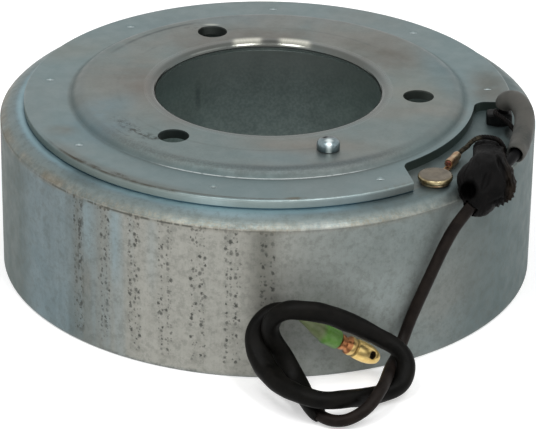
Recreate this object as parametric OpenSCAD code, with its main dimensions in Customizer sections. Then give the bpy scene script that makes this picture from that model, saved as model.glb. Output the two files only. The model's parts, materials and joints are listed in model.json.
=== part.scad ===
// Magnetic clutch coil of a vehicle air-conditioning compressor.
// A steel cup with two walls holds a potted winding, and a stamped plate on its back bolts to
// the compressor's nose. It stands on its open pole face: the origin is the middle of that face,
// +Z is up through the plate, and angles are counted from +X towards +Y.

/* [Field shell] */
// Outside diameter of the shell
shell_d = 112; // [104:0.5:124]
// Height of the shell from the pole face to the top of its back wall
shell_h = 34.8; // [31:0.2:42]
// Thickness of the outer wall
outer_wall = 5; // [4.4:0.1:6]
// Width of the space for the winding between the two walls
space_w = 9.5; // [8.6:0.1:11]
// Thickness of the inner wall
inner_wall = 4; // [3.2:0.1:5]
// Thickness of the back wall
back_wall = 5; // [4.6:0.1:7]
// Drop of the rounded shoulder down to the turned outside
shoulder_drop = 2.2; // [1.6:0.1:3]
// Width of the rounded shoulder
shoulder_w = 4.7; // [4:0.1:4.9]

/* [Mounting plate] */
// Width of the shell's ledge round the plate
plate_inset = 5; // [4.9:0.1:6]
// Thickness of the plate
plate_t = 2; // [1.6:0.1:2.6]
// Width of the flange round the raised centre
flange_w = 9.8; // [9:0.1:11]
// Height of the raised centre above the flange
raise_h = 1.6; // [1:0.1:2]
// Radius of the rounded edge of the raised centre
raise_r = 2.9; // [2.5:0.1:3.6]
// Width of the plate's ring between the shell's inside and the central bore
web_w = 14; // [12.4:0.1:16]
// Radius of the bore's rounded upper lip
lip_r = 1.3; // [0.4:0.1:1.4]

/* [Mounting holes] */
// Number of holes for the mounting screws
hole_count = 3; // [3:1:3]
// Diameter of the mounting holes
hole_d = 6.4; // [5.4:0.1:7]
// Distance of the holes' middles from the shell's inside
hole_inset = 6; // [5:0.1:7]
// Direction of the first hole
hole_a = -7; // [-10:1:-4]

/* [Locating pin] */
// Diameter of the pin
pin_d = 4.7; // [3.6:0.1:5]
// Height of the pin above the raised centre
pin_h = 2.3; // [2:0.1:5]
// Radius of the pin's rounded top edge
pin_round = 1.3; // [0.6:0.1:1.6]
// Distance of the pin's middle from the shell's inside
pin_inset = 4.9; // [4:0.1:6]
// Direction of the pin
pin_a = -68; // [-72:1:-64]

/* [Cutout] */
// Direction of the cutout's corner beside the rivet
cut_a0 = -49; // [-51:0.5:-48]
// Direction of the cutout's corner beside the bushing
cut_a1 = -6.5; // [-7:0.5:-5]
// Slope of the cutout's edge beside the rivet
cut_edge_a0 = -77; // [-80:1:-70]
// Slope of the cutout's edge beside the bushing
cut_edge_a1 = 0; // [-3:1:3]
// Width of the flange that is left inside the cutout
cut_ledge = 1.9; // [1.6:0.1:3]
// Radius of the cutout's inner corners
cut_corner_r = 2.6; // [1.4:0.1:3]

/* [Stake marks] */
// Number of punched marks round the flange
mark_count = 8; // [4:1:8]
// Angle from one mark to the next
mark_step = 42; // [30:1:42]
// Diameter of a mark
mark_d = 1.7; // [1:0.1:2.2]
// Depth of a mark
mark_depth = 0.3; // [0.1:0.05:0.5]

/* [Winding] */
// Wall thickness of the bobbin
bobbin_t = 0.9; // [0.7:0.05:1.2]
// Thickness of the tape over the winding
tape_t = 0.4; // [0.2:0.05:0.6]
// Air gap between the tape and the outer wall
winding_air = 1.4; // [0.6:0.1:3]
// Thickness of the insulating washer under the back wall
insulator_t = 0.5; // [0.3:0.1:0.8]
// Thickness of the resin that closes the pole side
resin_t = 2.35; // [1.5:0.05:6]
// Depth of the resin below the pole face
resin_recess = 0.8; // [0.3:0.1:1.5]

/* [Bushing and ground] */
// Width of the bushing's block
bushing_w = 5.3; // [4.8:0.1:5.6]
// Depth of the bushing's block
bushing_l = 3.6; // [3.2:0.1:3.8]
// Height of the bushing's block
bushing_h = 2.3; // [1.8:0.1:3]
// Diameter of the bushing's stem in the back wall
stem_d = 4.6; // [4.5:0.1:5]
// Diameter of the rivet's head
rivet_head_d = 7; // [6:0.1:7.2]
// Thickness of the rivet's head
rivet_head_t = 1.1; // [0.8:0.1:1.6]
// Diameter of the rivet's shank
rivet_shank_d = 2.8; // [2.2:0.1:3.2]
// Thickness of the ground terminal
terminal_t = 0.5; // [0.4:0.1:0.8]
// Diameter of the ground wire
ground_wire_d = 1.1; // [0.9:0.1:1.3]

/* [Live wire and boot] */
// Diameter of the live wire
live_wire_d = 2.2; // [1.8:0.1:2.4]
// Outside diameter of the sleeve over the live wire
live_sleeve_d = 4.2; // [3.8:0.1:4.4]
// Gap between the boot and the shell that it saddles
boot_gap = 0.1; // [0.05:0.05:0.2]

/* [Lead] */
// Diameter of the lead
lead_d = 2.4; // [2.2:0.1:2.6]
// Outside diameter of the tube over the coiled part of the lead
lead_tube_d = 3.5; // [3.2:0.1:3.6]
// Diameter of the connector sleeve's collar
collar_d = 4; // [3.8:0.1:4.2]
// Length of the connector sleeve's collar
collar_l = 4.1; // [3.6:0.1:4.8]
// Diameter of the bullet terminal
bullet_d = 3.3; // [3:0.1:3.8]

/* [Hidden] */
$fn = 96;
fit = 0.05;
over = 1;
edge_r = 0.4;

shell_r = shell_d / 2;
space_r1 = shell_r - outer_wall;
space_r0 = space_r1 - space_w;
bore_wall_r = space_r0 - inner_wall;
space_top = shell_h - back_wall;
shoulder_r0 = shell_r - shoulder_w;
shoulder_a = 2 * atan2(shoulder_drop, shoulder_w);
shoulder_arc_r = shoulder_w / sin(shoulder_a);

flange_z = shell_h + plate_t;
raised_z = flange_z + raise_h;
plate_r = shell_r - plate_inset;
raised_r = plate_r - flange_w;
bore_r = bore_wall_r - web_w;
hole_radius = bore_wall_r - hole_inset;
pin_radius = bore_wall_r - pin_inset;
raise_a = acos(1 - raise_h / raise_r);
raise_r0 = raised_r - raise_r * sin(raise_a);
foot_r = 0.5;
mark_radius = plate_r - 0.48 * flange_w;
mark_a0 = 5;

bushing_radius = space_r1 - 2.4;
bushing_a = cut_a1 - 3.5;
bobbin_top = space_top - insulator_t - 2 * fit;
bobbin_bottom = resin_recess + resin_t + fit;
bobbin_r0 = space_r0 + 2 * fit;
bobbin_r1 = space_r1 - 4 * fit;
winding_r0 = bobbin_r0 + bobbin_t + fit;
winding_r1 = space_r1 - winding_air - tape_t - fit;
winding_top = bobbin_top - bobbin_t - fit;

rivet_radius = plate_r - 0.9;
rivet_a = cut_a0 + 0.9;
rivet_depth = 4;
terminal_a = 64;
barrel_start = 6.5;
barrel_l = 4.4;
barrel_d = 1.9;

// Radius and height of the shell on which the routes and the boot were drawn
DRAWN_ON = [56, 34.8];

// The boot's sections from its neck to its lower end: middle, width, thickness, tilt
boot_turn = 12;
BOOT = [
    [[44.2, -25.6, 37.1], 4.6, 2.8, 0],
    [[44.2, -26.3, 37.2], 5.2, 3.8, 0],
    [[44.1, -28.0, 37.2], 5.3, 4.2, 0],
    [[44.1, -30.0, 37.2], 6.0, 4.8, 0],
    [[44.1, -32.5, 37.2], 6.8, 5.4, 2],
    [[43.8, -35.0, 37.2], 8.6, 6.2, 4],
    [[43.5, -37.5, 36.9], 10.6, 6.8, 6],
    [[43.3, -40.0, 36.0], 11.8, 7.2, 8],
    [[43.3, -41.4, 34.6], 11.2, 7.2, 12],
    [[43.4, -41.8, 33.0], 9.8, 6.8, 18],
    [[42.9, -41.8, 31.4], 7.2, 5.6, 24],
    [[42.4, -41.7, 30.6], 4.6, 3.6, 28]
];
BOOT_SIDES = 20;
boot_square = 0.75;
mouth_l = 3;
ferrule_l = 3.8;
ferrule_d = 3.2;
ferrule_gap = 0.25;

// Where the wires leave the bushing, from its middle
LIVE_OFFSET = [0.9, 0.4];
GROUND_OFFSET = [-0.8, -0.8];

// Routes of the wires and of the lead, chosen by hand along what the photo shows
GROUND_ROUTE = [
    [47, -11.4, 38.1], [49.2, -13.2, 37.1], [50.8, -15.7, 35.9], [50.8, -19.5, 35.6],
    [49.6, -23.2, 35.6], [48.6, -25.6, 35.6], [47.9, -27.4, 36.4], [47.6, -28, 38],
    [46.3, -27.9, 39.8], [44.2, -27.5, 40.2], [42.3, -27.1, 39.8], [41.1, -26.2, 38.5],
    [40.3, -25.7, 37.2], [39.4, -25.7, 36.4]
];
LIVE_ROUTE = [
    [49.4, -8.6, 39.8], [51.2, -11, 40.6], [52.3, -15, 40], [52.1, -19.5, 38.9],
    [51.4, -23.4, 38.2], [50.7, -26.6, 37.9], [49.7, -30.1, 37.7], [47.9, -33.6, 37.4],
    [45.8, -37.2, 37], [44.2, -40.4, 36.6]
];
LEAD_ROUTE = [
    [40.5, -44, 33], [36.7, -45, 27.5], [32.7, -47.7, 19.4], [29.3, -49.4, 11.2],
    [27.6, -51.2, 6.9], [26.3, -54.7, 4.9], [24.7, -60.9, 5.3], [23, -69.4, 6],
    [20.2, -73.6, 3.9], [16.9, -75.1, 2.2], [13.9, -75.1, 1.6], [11.2, -73.7, 1.8],
    [9.3, -71, 2.6], [7.5, -66, 3.3], [5.7, -62.6, 5], [3.5, -61, 8.5],
    [1.3, -61.6, 13.1], [1.4, -62.2, 16.2], [3, -62.9, 18.5], [5.9, -63.4, 19.6],
    [10.9, -63.3, 19], [16.8, -60.2, 15.2], [22.7, -57.8, 10.6], [26.3, -58.5, 8.5],
    [27.9, -60.1, 6.4], [27.8, -62, 4.5], [26, -64, 3], [21.9, -66.4, 2.5],
    [16.7, -71.9, 4.8], [13, -73.9, 5.4], [10.1, -74.1, 5.6], [7.2, -73, 5.9],
    [3, -69.2, 6.1], [0, -65, 7], [-2, -61.7, 10.1], [-2, -59.8, 12.6],
    [-0.6, -58.5, 14.6], [1.6, -57.9, 15.9], [4.2, -58, 16.3], [7.3, -58.6, 15.8]
];
TUBE_FIRST = 11;
TUBE_LAST = 38;
SLEEVE_ROUTE = [
    [7.3, -58.6, 15.8], [8.4, -58.8, 15], [9.5, -58.8, 13.9], [10.5, -58.6, 12.7],
    [11.6, -58.4, 11.6], [12.4, -58.12, 11.04]
];
CONNECTOR_END = [22.4, -54.6, 4.1];
RING_STEP = 4.8;
LIVE_STEP = 2.5;
GROUND_STEP = 2;
CORD_SIDES = 8;

connector_l = norm(CONNECTOR_END - SLEEVE_ROUTE[4]);
tube_gap = 0.12;
wire_gap = 0.15;
crimp_l = 2.3;
ring_l = 0.8;
waist_l = 0.4;
tip_l = 1.4;
tip_d = 2.4;
tip_hole_d = 1.3;
tip_hole_l = 2.5;
strands_d = 1.5;

// Points of an arc about c, from angle a0 to a1
function arc(c, r, a0, a1, n = 8) =
    [for (i = [0 : n]) let (a = a0 + (a1 - a0) * i / n) c + r * [cos(a), sin(a)]];

function unit(v) = v / norm(v);

// A point of the smooth curve through the points p, at the share t of the stretch i
function on_curve(p, i, t) =
    let (
        a = p[max(i - 1, 0)],
        b = p[i],
        c = p[i + 1],
        d = p[min(i + 2, len(p) - 1)]
    )
    (2 * b + (c - a) * t + (2 * a - 5 * b + 4 * c - d) * t * t
        + (3 * b - a - 3 * c + d) * t * t * t) / 2;

// The middles of a tube's rings, about one step apart
function ring_middles(p, step) = concat(
    [for (i = [0 : len(p) - 2])
        let (n = max(1, round(norm(p[i + 1] - p[i]) / step)))
        for (k = [0 : n - 1]) on_curve(p, i, k / n)],
    [p[len(p) - 1]]
);

// How many rings lie before the route's point k
function rings_before(p, step, k) =
    k <= 0 ? 0 : rings_before(p, step, k - 1) + max(1, round(norm(p[k] - p[k - 1]) / step));

function headings(m) =
    [for (i = [0 : len(m) - 1]) unit(m[min(i + 1, len(m) - 1)] - m[max(i - 1, 0)])];

// One side direction for each ring, carried along without twist
function side_directions(t) =
    let (start = cross(t[0], [0.3, 0.2, 1]))
    [for (
        i = 0, s = unit(start);
        i < len(t);
        i = i + 1, s = unit(s - (s * t[min(i, len(t) - 1)]) * t[min(i, len(t) - 1)])
    ) s];

function ring_points(m, t, s, d, sides) =
    let (w = cross(t, s))
    [for (j = [0 : sides - 1]) let (a = 360 * (j + 0.5) / sides) m + d / 2 * (cos(a) * s + sin(a) * w)];

// Side faces of a skin over rings of equal count, numbered from a first point
function skin_faces(rings, sides, first = 0) =
    [for (i = [0 : rings - 2], j = [0 : sides - 1])
        let (k = (j + 1) % sides, a = first + i * sides, b = a + sides)
        [a + j, b + j, b + k, a + k]];

module skin(rings) {
    count = len(rings);
    sides = len(rings[0]);
    polyhedron(
        points = [for (r = rings) for (p = r) p],
        faces = concat(
            skin_faces(count, sides),
            [[for (j = [0 : sides - 1]) j]],
            [[for (j = [0 : sides - 1]) count * sides - 1 - j]]
        ),
        convexity = 10
    );
}

module round_wire(route, d, sides = CORD_SIDES, step = RING_STEP) {
    m = ring_middles(route, step);
    t = headings(m);
    s = side_directions(t);
    skin([for (i = [0 : len(m) - 1]) ring_points(m[i], t[i], s[i], d, sides)]);
}

// A hollow tube over the rings from first to last of a route
module hose(route, d_out, d_in, first, last, sides = CORD_SIDES, step = RING_STEP) {
    m = ring_middles(route, step);
    t = headings(m);
    s = side_directions(t);
    span = [for (i = [first : last]) i];
    outside = [for (i = span) for (p = ring_points(m[i], t[i], s[i], d_out, sides)) p];
    inside = [for (i = span) for (p = ring_points(m[i], t[i], s[i], d_in, sides)) p];
    n = len(span) * sides;
    polyhedron(
        points = concat(outside, inside),
        faces = concat(
            skin_faces(len(span), sides),
            [for (f = skin_faces(len(span), sides, n)) [f[3], f[2], f[1], f[0]]],
            [for (j = [0 : sides - 1]) let (k = (j + 1) % sides) [j, k, n + k, n + j]],
            [for (j = [0 : sides - 1])
                let (k = (j + 1) % sides, a = n - sides)
                [a + k, a + j, n + a + j, n + a + k]]
        ),
        convexity = 10
    );
}

// A drawn point moved with the shell's radius and, by the share lift, with its height
function seat(p, lift = 1) =
    let (k = 1 + (shell_r - DRAWN_ON[0]) / norm([p[0], p[1]]))
    [k * p[0], k * p[1], p[2] + lift * (shell_h - DRAWN_ON[1])];

function seated(route) = [for (p = route) seat(p)];

// The lead hangs from the boot to the floor, so its first points rise with the shell
function lead_route() =
    [for (i = [0 : len(LEAD_ROUTE) - 1]) seat(LEAD_ROUTE[i], max(0, 1 - i / 4))];

function connector_start() = seat(SLEEVE_ROUTE[4], 0);

function polar(r, a) = [r * cos(a), r * sin(a)];

// A wire's way from the winding up through the bushing to a rise above it, then along its route
function from_winding(offset, route, rise) =
    let (c = polar(bushing_radius, bushing_a) + offset)
    concat(
        [for (z = [winding_top + fit, shell_h + 1, shell_h + bushing_h + rise]) [c[0], c[1], z]],
        seated(route)
    );

// A point of the terminal's barrel, at the distance d from the rivet
function barrel_point(d) =
    let (c = polar(rivet_radius, rivet_a) + polar(d, terminal_a))
    [c[0], c[1], shell_h + fit + terminal_t / 2 + barrel_d / 2];

function live_route() = from_winding(LIVE_OFFSET, LIVE_ROUTE, 1.2);

function ground_route() = concat(
    from_winding(GROUND_OFFSET, GROUND_ROUTE, 0.6),
    [for (d = [0.7, -0.4, -barrel_l - 0.3]) barrel_point(barrel_start + barrel_l + d)]
);

// Places its children at a distance and a direction from the axis
module at_polar(r, a, z = 0) {
    rotate([0, 0, a]) translate([r, 0, z]) children();
}

// Lays a revolved piece along the line from a to b
module along(a, b) {
    v = b - a;
    translate(a)
        rotate([0, acos(v[2] / norm(v)), atan2(v[1], v[0])])
            children();
}

// Outside of the shell as a half profile, grown by a gap
function shell_outside(gap = 0) = concat(
    [[shell_r + gap, -over]],
    arc(
        [shoulder_r0, shell_h - shoulder_arc_r],
        shoulder_arc_r + gap,
        90 - shoulder_a,
        90,
        10
    ),
    [[0, shell_h + gap], [0, -over]]
);

// The steel cup: outer wall, back wall and inner wall turned from one forging
module field_shell() {
    profile = concat(
        [[bore_wall_r, edge_r], [bore_wall_r + edge_r, 0], [space_r0, 0]],
        [[space_r0, space_top], [space_r1, space_top]],
        [[space_r1, 0], [shell_r - edge_r, 0], [shell_r, edge_r]],
        arc([shoulder_r0, shell_h - shoulder_arc_r], shoulder_arc_r, 90 - shoulder_a, 90, 10),
        [[bore_wall_r + edge_r, shell_h], [bore_wall_r, shell_h - edge_r]]
    );
    color("#8f9a9b")
        difference() {
            rotate_extrude() polygon(profile);
            at_polar(bushing_radius, bushing_a, space_top - over)
                cylinder(h = back_wall + 2 * over, d = stem_d + 2 * fit);
            at_polar(rivet_radius, rivet_a, shell_h - rivet_depth)
                cylinder(h = rivet_depth + over, d = rivet_shank_d + 2 * fit);
        }
}

// Outline of the cutout, open at the rim, with its two inner corners rounded
module cutout_shape() {
    inside = raised_r + cut_ledge;
    c = cut_corner_r;
    reach = 2 * plate_r;
    corner0 = (inside + c) * [cos(cut_a0), sin(cut_a0)];
    corner1 = (inside + c) * [cos(cut_a1), sin(cut_a1)];
    turn0 = arc(corner0, c, cut_edge_a0 - 90, cut_a0 - 180, 6);
    turn1 = arc(corner1, c, cut_a1 + 180, cut_edge_a1 + 90, 6);
    difference() {
        polygon(concat(
            [turn0[0] + reach * [cos(cut_edge_a0), sin(cut_edge_a0)]],
            turn0,
            [[0, 0]],
            turn1,
            [turn1[6] + reach * [cos(cut_edge_a1), sin(cut_edge_a1)]]
        ));
        circle(r = inside);
    }
}

// The stamped plate with its raised centre
module mounting_plate() {
    top_arc = arc([raise_r0, raised_z - raise_r], raise_r, 90 - raise_a, 90);
    under_arc = arc([raise_r0, raised_z - raise_r], raise_r - plate_t, 90, 90 - raise_a, 4);
    under_last = under_arc[len(under_arc) - 1];
    under_foot = under_last[0] + (under_last[1] - shell_h) / tan(raise_a);
    foot_shift = foot_r * tan(raise_a / 2);
    foot = arc([raised_r + foot_shift, flange_z + foot_r], foot_r, 270, 270 - raise_a, 3);
    profile = concat(
        [[bore_r + 0.2, shell_h + raise_h]],
        under_arc,
        [[under_foot, shell_h], [plate_r - 0.3, shell_h], [plate_r, shell_h + 0.3]],
        arc([plate_r - 0.5, flange_z - 0.5], 0.5, 0, 90, 3),
        foot,
        [for (i = [1 : len(top_arc) - 1]) top_arc[i]],
        arc([bore_r + lip_r, raised_z - lip_r], lip_r, 90, 180, 6),
        [[bore_r, shell_h + raise_h + 0.2]]
    );
    color("#7f8c8c")
        difference() {
            rotate_extrude() polygon(profile);
            for (i = [0 : hole_count - 1])
                at_polar(hole_radius, hole_a + i * 360 / hole_count, shell_h)
                    cylinder(h = plate_t + raise_h + over, d = hole_d);
            at_polar(pin_radius, pin_a, shell_h)
                cylinder(h = plate_t + raise_h + over, d = pin_tail_d() + 2 * fit);
            translate([0, 0, shell_h - over])
                linear_extrude(plate_t + raise_h + 2 * over) cutout_shape();
            for (i = [0 : mark_count - 1])
                at_polar(mark_radius, mark_a0 + i * mark_step, flange_z - mark_depth)
                    cylinder(h = mark_depth + fit, d1 = mark_d / 3, d2 = mark_d);
        }
}

function pin_tail_d() = 0.75 * pin_d;

// The domed pin, with a tail that is peened over under the plate
module locating_pin() {
    dome = arc([pin_d / 2 - pin_round, raised_z + pin_h - pin_round], pin_round, 0, 90, 8);
    tail_r = pin_tail_d() / 2;
    under_z = shell_h + raise_h;
    color("#c9cdd0")
        translate([pin_radius * cos(pin_a), pin_radius * sin(pin_a), 0])
            rotate_extrude()
                polygon(concat(
                    [[0, under_z - 0.8], [tail_r + 0.5, under_z - 0.8], [tail_r + 0.7, under_z - fit]],
                    [[tail_r, under_z - fit], [tail_r, raised_z + fit], [pin_d / 2, raised_z + fit]],
                    dome,
                    [[0, raised_z + pin_h + fit]]
                ));
}

// A ring with a plain rectangular section
module ring(r0, r1, z0, z1) {
    translate([0, 0, z0])
        difference() {
            cylinder(h = z1 - z0, r = r1);
            translate([0, 0, -over]) cylinder(h = z1 - z0 + 2 * over, r = r0);
        }
}

// Where the winding's two ends go up through the washer, the bobbin and the bushing
module end_holes(z0, z1) {
    for (w = [[GROUND_OFFSET, ground_wire_d], [LIVE_OFFSET, live_wire_d]])
        translate(concat(polar(bushing_radius, bushing_a) + w[0], z0))
            cylinder(h = z1 - z0, d = w[1] + 2 * wire_gap);
}

// The moulded spool round the inner wall
module bobbin() {
    color("#e6e0cf")
        difference() {
            rotate_extrude()
                polygon([
                    [bobbin_r0, bobbin_bottom], [bobbin_r1, bobbin_bottom],
                    [bobbin_r1, bobbin_bottom + bobbin_t],
                    [bobbin_r0 + bobbin_t, bobbin_bottom + bobbin_t],
                    [bobbin_r0 + bobbin_t, bobbin_top - bobbin_t],
                    [bobbin_r1, bobbin_top - bobbin_t], [bobbin_r1, bobbin_top],
                    [bobbin_r0, bobbin_top]
                ]);
            end_holes(bobbin_top - bobbin_t - over, bobbin_top + over);
        }
}

// The copper winding, with all its turns as one solid
module winding() {
    color("#b0642f")
        ring(winding_r0, winding_r1, bobbin_bottom + bobbin_t + fit, winding_top);
}

// The wrap of tape over the winding
module winding_tape() {
    color("#d8c25a")
        ring(winding_r1 + fit, winding_r1 + fit + tape_t, bobbin_bottom + bobbin_t + fit, winding_top);
}

// The washer that insulates the bobbin from the back wall
module back_insulator() {
    color("#c8b48a")
        difference() {
            ring(bobbin_r0, bobbin_r1, bobbin_top + fit, space_top - fit);
            end_holes(bobbin_top, space_top);
        }
}

// The resin that closes the space between the two walls
module potting_resin() {
    color("#2d2f2e")
        ring(space_r0 + fit, space_r1 - fit, resin_recess, bobbin_bottom - fit);
}

// The insulating block on the back wall, with a stem down through it
module outlet_bushing() {
    block_z = shell_h + fit;
    color("#1d1e1e")
        difference() {
            union() {
                at_polar(bushing_radius, bushing_a, space_top + fit)
                    cylinder(h = back_wall, d = stem_d);
                at_polar(bushing_radius, bushing_a, block_z)
                    rotate([0, 0, -bushing_a])
                        translate([-bushing_w / 2, -bushing_l / 2, 0])
                            cube([bushing_w, bushing_l, bushing_h]);
            }
            end_holes(space_top - over, block_z + bushing_h + over);
        }
}

// The winding's ground end, from the bushing over the boot's neck to the terminal
module ground_wire() {
    color("#4a3b30") round_wire(ground_route(), ground_wire_d, step = GROUND_STEP);
}

// A ring terminal with its wire barrel
module ground_terminal() {
    color("#a8876a")
        at_polar(rivet_radius, rivet_a, shell_h + fit)
            rotate([0, 0, terminal_a - rivet_a]) {
                difference() {
                    union() {
                        cylinder(h = terminal_t, d = rivet_head_d - 0.8);
                        translate([0, -0.7, 0]) cube([barrel_start + barrel_l, 1.4, terminal_t]);
                    }
                    translate([0, 0, -over])
                        cylinder(h = terminal_t + 2 * over, d = rivet_shank_d + 2 * fit);
                }
                translate([barrel_start, 0, terminal_t / 2 + barrel_d / 2])
                    rotate([0, 90, 0])
                        difference() {
                            cylinder(h = barrel_l, d = barrel_d);
                            translate([0, 0, -over])
                                cylinder(h = barrel_l + 2 * over, d = ground_wire_d + 2 * wire_gap);
                        }
            }
}

// The flat-headed rivet that grounds the terminal to the shell
module ground_rivet() {
    head_z = shell_h + terminal_t + 2 * fit;
    head_r = rivet_head_d / 2;
    color("#c2b28a")
        at_polar(rivet_radius, rivet_a)
            rotate_extrude()
                polygon([
                    [0, shell_h - rivet_depth + 2 * fit],
                    [rivet_shank_d / 2, shell_h - rivet_depth + 2 * fit],
                    [rivet_shank_d / 2, head_z],
                    [head_r, head_z],
                    [head_r, head_z + rivet_head_t - 0.4],
                    [head_r - 0.12, head_z + rivet_head_t - 0.12],
                    [head_r - 0.4, head_z + rivet_head_t],
                    [0, head_z + rivet_head_t]
                ]);
}

// The winding's live end, from the bushing into the boot
module live_wire() {
    color("#151515") round_wire(live_route(), live_wire_d, step = LIVE_STEP);
}

// The grey sleeve over the live wire
module live_wire_sleeve() {
    route = live_route();
    first = rings_before(route, LIVE_STEP, 2);
    last = rings_before(route, LIVE_STEP, 9);
    color("#8d8d8a")
        hose(route, live_sleeve_d, live_wire_d + 2 * tube_gap, first, last, 10, LIVE_STEP);
}

// One section of the boot, squared a little, turned with its path and tilted across it
function boot_section(i) =
    let (
        m = seat(BOOT[i][0]),
        t = unit(BOOT[min(i + 1, len(BOOT) - 1)][0] - BOOT[max(i - 1, 0)][0]),
        x = [cos(boot_turn), sin(boot_turn), 0],
        u = unit(x - (x * t) * t),
        h = cross(t, u),
        w = cos(BOOT[i][3]) * u - sin(BOOT[i][3]) * t
    )
    [for (j = [0 : BOOT_SIDES - 1])
        let (
            a = 360 * j / BOOT_SIDES,
            c = sign(cos(a)) * pow(abs(cos(a)), boot_square),
            s = sign(sin(a)) * pow(abs(sin(a)), boot_square)
        )
        m + BOOT[i][1] / 2 * c * w + BOOT[i][2] / 2 * s * h];

// Lays its children along the lead's first stretch, up into the boot or back out of it
module at_exit(out = false) {
    a = lead_route()[0];
    b = lead_route()[1];
    along(a, out ? b : 2 * a - b) children();
}

// The rubber boot over the splice, moulded to the shoulder that it saddles
module lead_boot() {
    color("#1b1b1a")
        difference() {
            union() {
                skin([for (i = [0 : len(BOOT) - 1]) boot_section(i)]);
                at_exit() cylinder(h = mouth_l, d1 = lead_d + 0.8, d2 = lead_d + 2, $fn = 32);
            }
            rotate_extrude() polygon(shell_outside(boot_gap));
            round_wire(live_route(), live_wire_d + 2 * tube_gap, step = LIVE_STEP);
            at_splice()
                translate([0, 0, -2 * fit])
                    cylinder(h = ferrule_l + 2 * fit, d = ferrule_d + 2 * fit, $fn = 32);
            at_exit(true) cylinder(h = 3 * mouth_l, d = lead_d + 2 * wire_gap, $fn = 32);
        }
}

// Lays its children along the live wire's last stretch, from its end backwards
module at_splice() {
    route = live_route();
    along(route[len(route) - 1], route[len(route) - 2]) children();
}

// The crimp on the live wire's end, inside the boot
module splice_ferrule() {
    color("#b9a06a")
        at_splice()
            translate([0, 0, -fit])
                difference() {
                    cylinder(h = ferrule_l, d = ferrule_d, $fn = 32);
                    cylinder(h = ferrule_l + over, d = live_wire_d + 2 * ferrule_gap, $fn = 32);
                }
}

// The free lead, from the boot to the connector
module lead() {
    color("#23201d") round_wire(lead_route(), lead_d);
}

// The black tube over the coiled part of the lead
module lead_tube() {
    route = lead_route();
    first = rings_before(route, RING_STEP, TUBE_FIRST);
    last = rings_before(route, RING_STEP, TUBE_LAST);
    color("#1f1f1d")
        hose(route, lead_tube_d, lead_d + 2 * tube_gap, first, last);
}

// Lays its children along the connector, with its start at the collar
module at_connector() {
    shift = connector_start() - SLEEVE_ROUTE[4];
    along(connector_start(), CONNECTOR_END + shift) children();
}

// The green sleeve: a soft taper that starts square to the lead's end, then a straight collar
module connector_sleeve() {
    r = collar_d / 2;
    lead_end = headings(ring_middles(lead_route(), RING_STEP));
    middles = [for (p = SLEEVE_ROUTE) seat(p, 0)];
    widths = [for (i = [0 : 5]) lead_d + 0.4 + (collar_d - lead_d - 0.8) * i / 5];
    t = [for (i = [0 : 5]) i == 0 ? lead_end[len(lead_end) - 1] : headings(middles)[i]];
    s = side_directions(t);
    color("#5f9a4e") {
        difference() {
            skin([for (i = [0 : 5]) ring_points(middles[i], t[i], s[i], widths[i], 24)]);
            at_connector() translate([0, 0, 0.3]) cylinder(h = collar_l, r = 2 * r);
        }
        at_connector()
            rotate_extrude()
                polygon([
                    [0, 0], [widths[4] / 2 + 0.08, 0], [r, 0.4], [r, collar_l - 0.2],
                    [r - 0.2, collar_l], [strands_d / 2 + fit, collar_l],
                    [strands_d / 2 + fit, 0.8], [0, 0.8]
                ]);
    }
}

// The copper strands that show at the crimp
module lead_strands() {
    color("#b5743f")
        at_connector()
            translate([0, 0, 0.8 + fit])
                cylinder(h = collar_l - 0.8 + crimp_l, d = strands_d);
}

// The brass bullet with its crimp barrel
module bullet_terminal() {
    r = bullet_d / 2;
    z0 = collar_l + fit;
    z1 = z0 + crimp_l;
    z2 = z1 + ring_l;
    z3 = z2 + waist_l;
    z4 = connector_l;
    color("#c6a152")
        at_connector()
            rotate_extrude()
                polygon([
                    [strands_d / 2 + fit, z0], [r - 0.3, z0], [r - 0.3, z1], [r, z1], [r, z2],
                    [r - 0.35, z2], [r - 0.35, z3], [r, z3], [r, z4 - tip_l],
                    [tip_d / 2, z4], [tip_hole_d / 2, z4], [tip_hole_d / 2, z4 - tip_hole_l],
                    [0, z4 - tip_hole_l], [0, z1 + 2 * fit], [strands_d / 2 + fit, z1 + 2 * fit]
                ]);
}

field_shell();
mounting_plate();
locating_pin();
bobbin();
winding();
winding_tape();
back_insulator();
potting_resin();
outlet_bushing();
ground_wire();
ground_terminal();
ground_rivet();
live_wire();
live_wire_sleeve();
lead_boot();
splice_ferrule();
lead();
lead_tube();
connector_sleeve();
lead_strands();
bullet_terminal();
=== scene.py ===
"""Looks of a magnetic clutch coil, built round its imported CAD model."""
import json
import math
from functools import partial

import bmesh
import bpy
import numpy as np
from mathutils import Matrix, Vector


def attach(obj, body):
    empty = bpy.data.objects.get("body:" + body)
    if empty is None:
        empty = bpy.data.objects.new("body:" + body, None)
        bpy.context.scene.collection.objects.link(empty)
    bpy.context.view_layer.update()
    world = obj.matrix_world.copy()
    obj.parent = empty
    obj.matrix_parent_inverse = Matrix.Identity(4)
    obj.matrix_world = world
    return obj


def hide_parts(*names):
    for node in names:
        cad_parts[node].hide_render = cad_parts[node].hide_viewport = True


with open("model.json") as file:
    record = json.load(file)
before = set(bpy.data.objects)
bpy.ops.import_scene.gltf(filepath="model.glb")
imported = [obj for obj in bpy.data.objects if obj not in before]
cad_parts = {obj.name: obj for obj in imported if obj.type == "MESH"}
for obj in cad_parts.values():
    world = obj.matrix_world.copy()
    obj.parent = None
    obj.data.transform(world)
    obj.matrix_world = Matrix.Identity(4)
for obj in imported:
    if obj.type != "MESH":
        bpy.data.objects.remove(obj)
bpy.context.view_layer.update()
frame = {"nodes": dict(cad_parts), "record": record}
nodes = frame["nodes"]
MM = 0.001
rng = np.random.default_rng(7)

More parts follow.
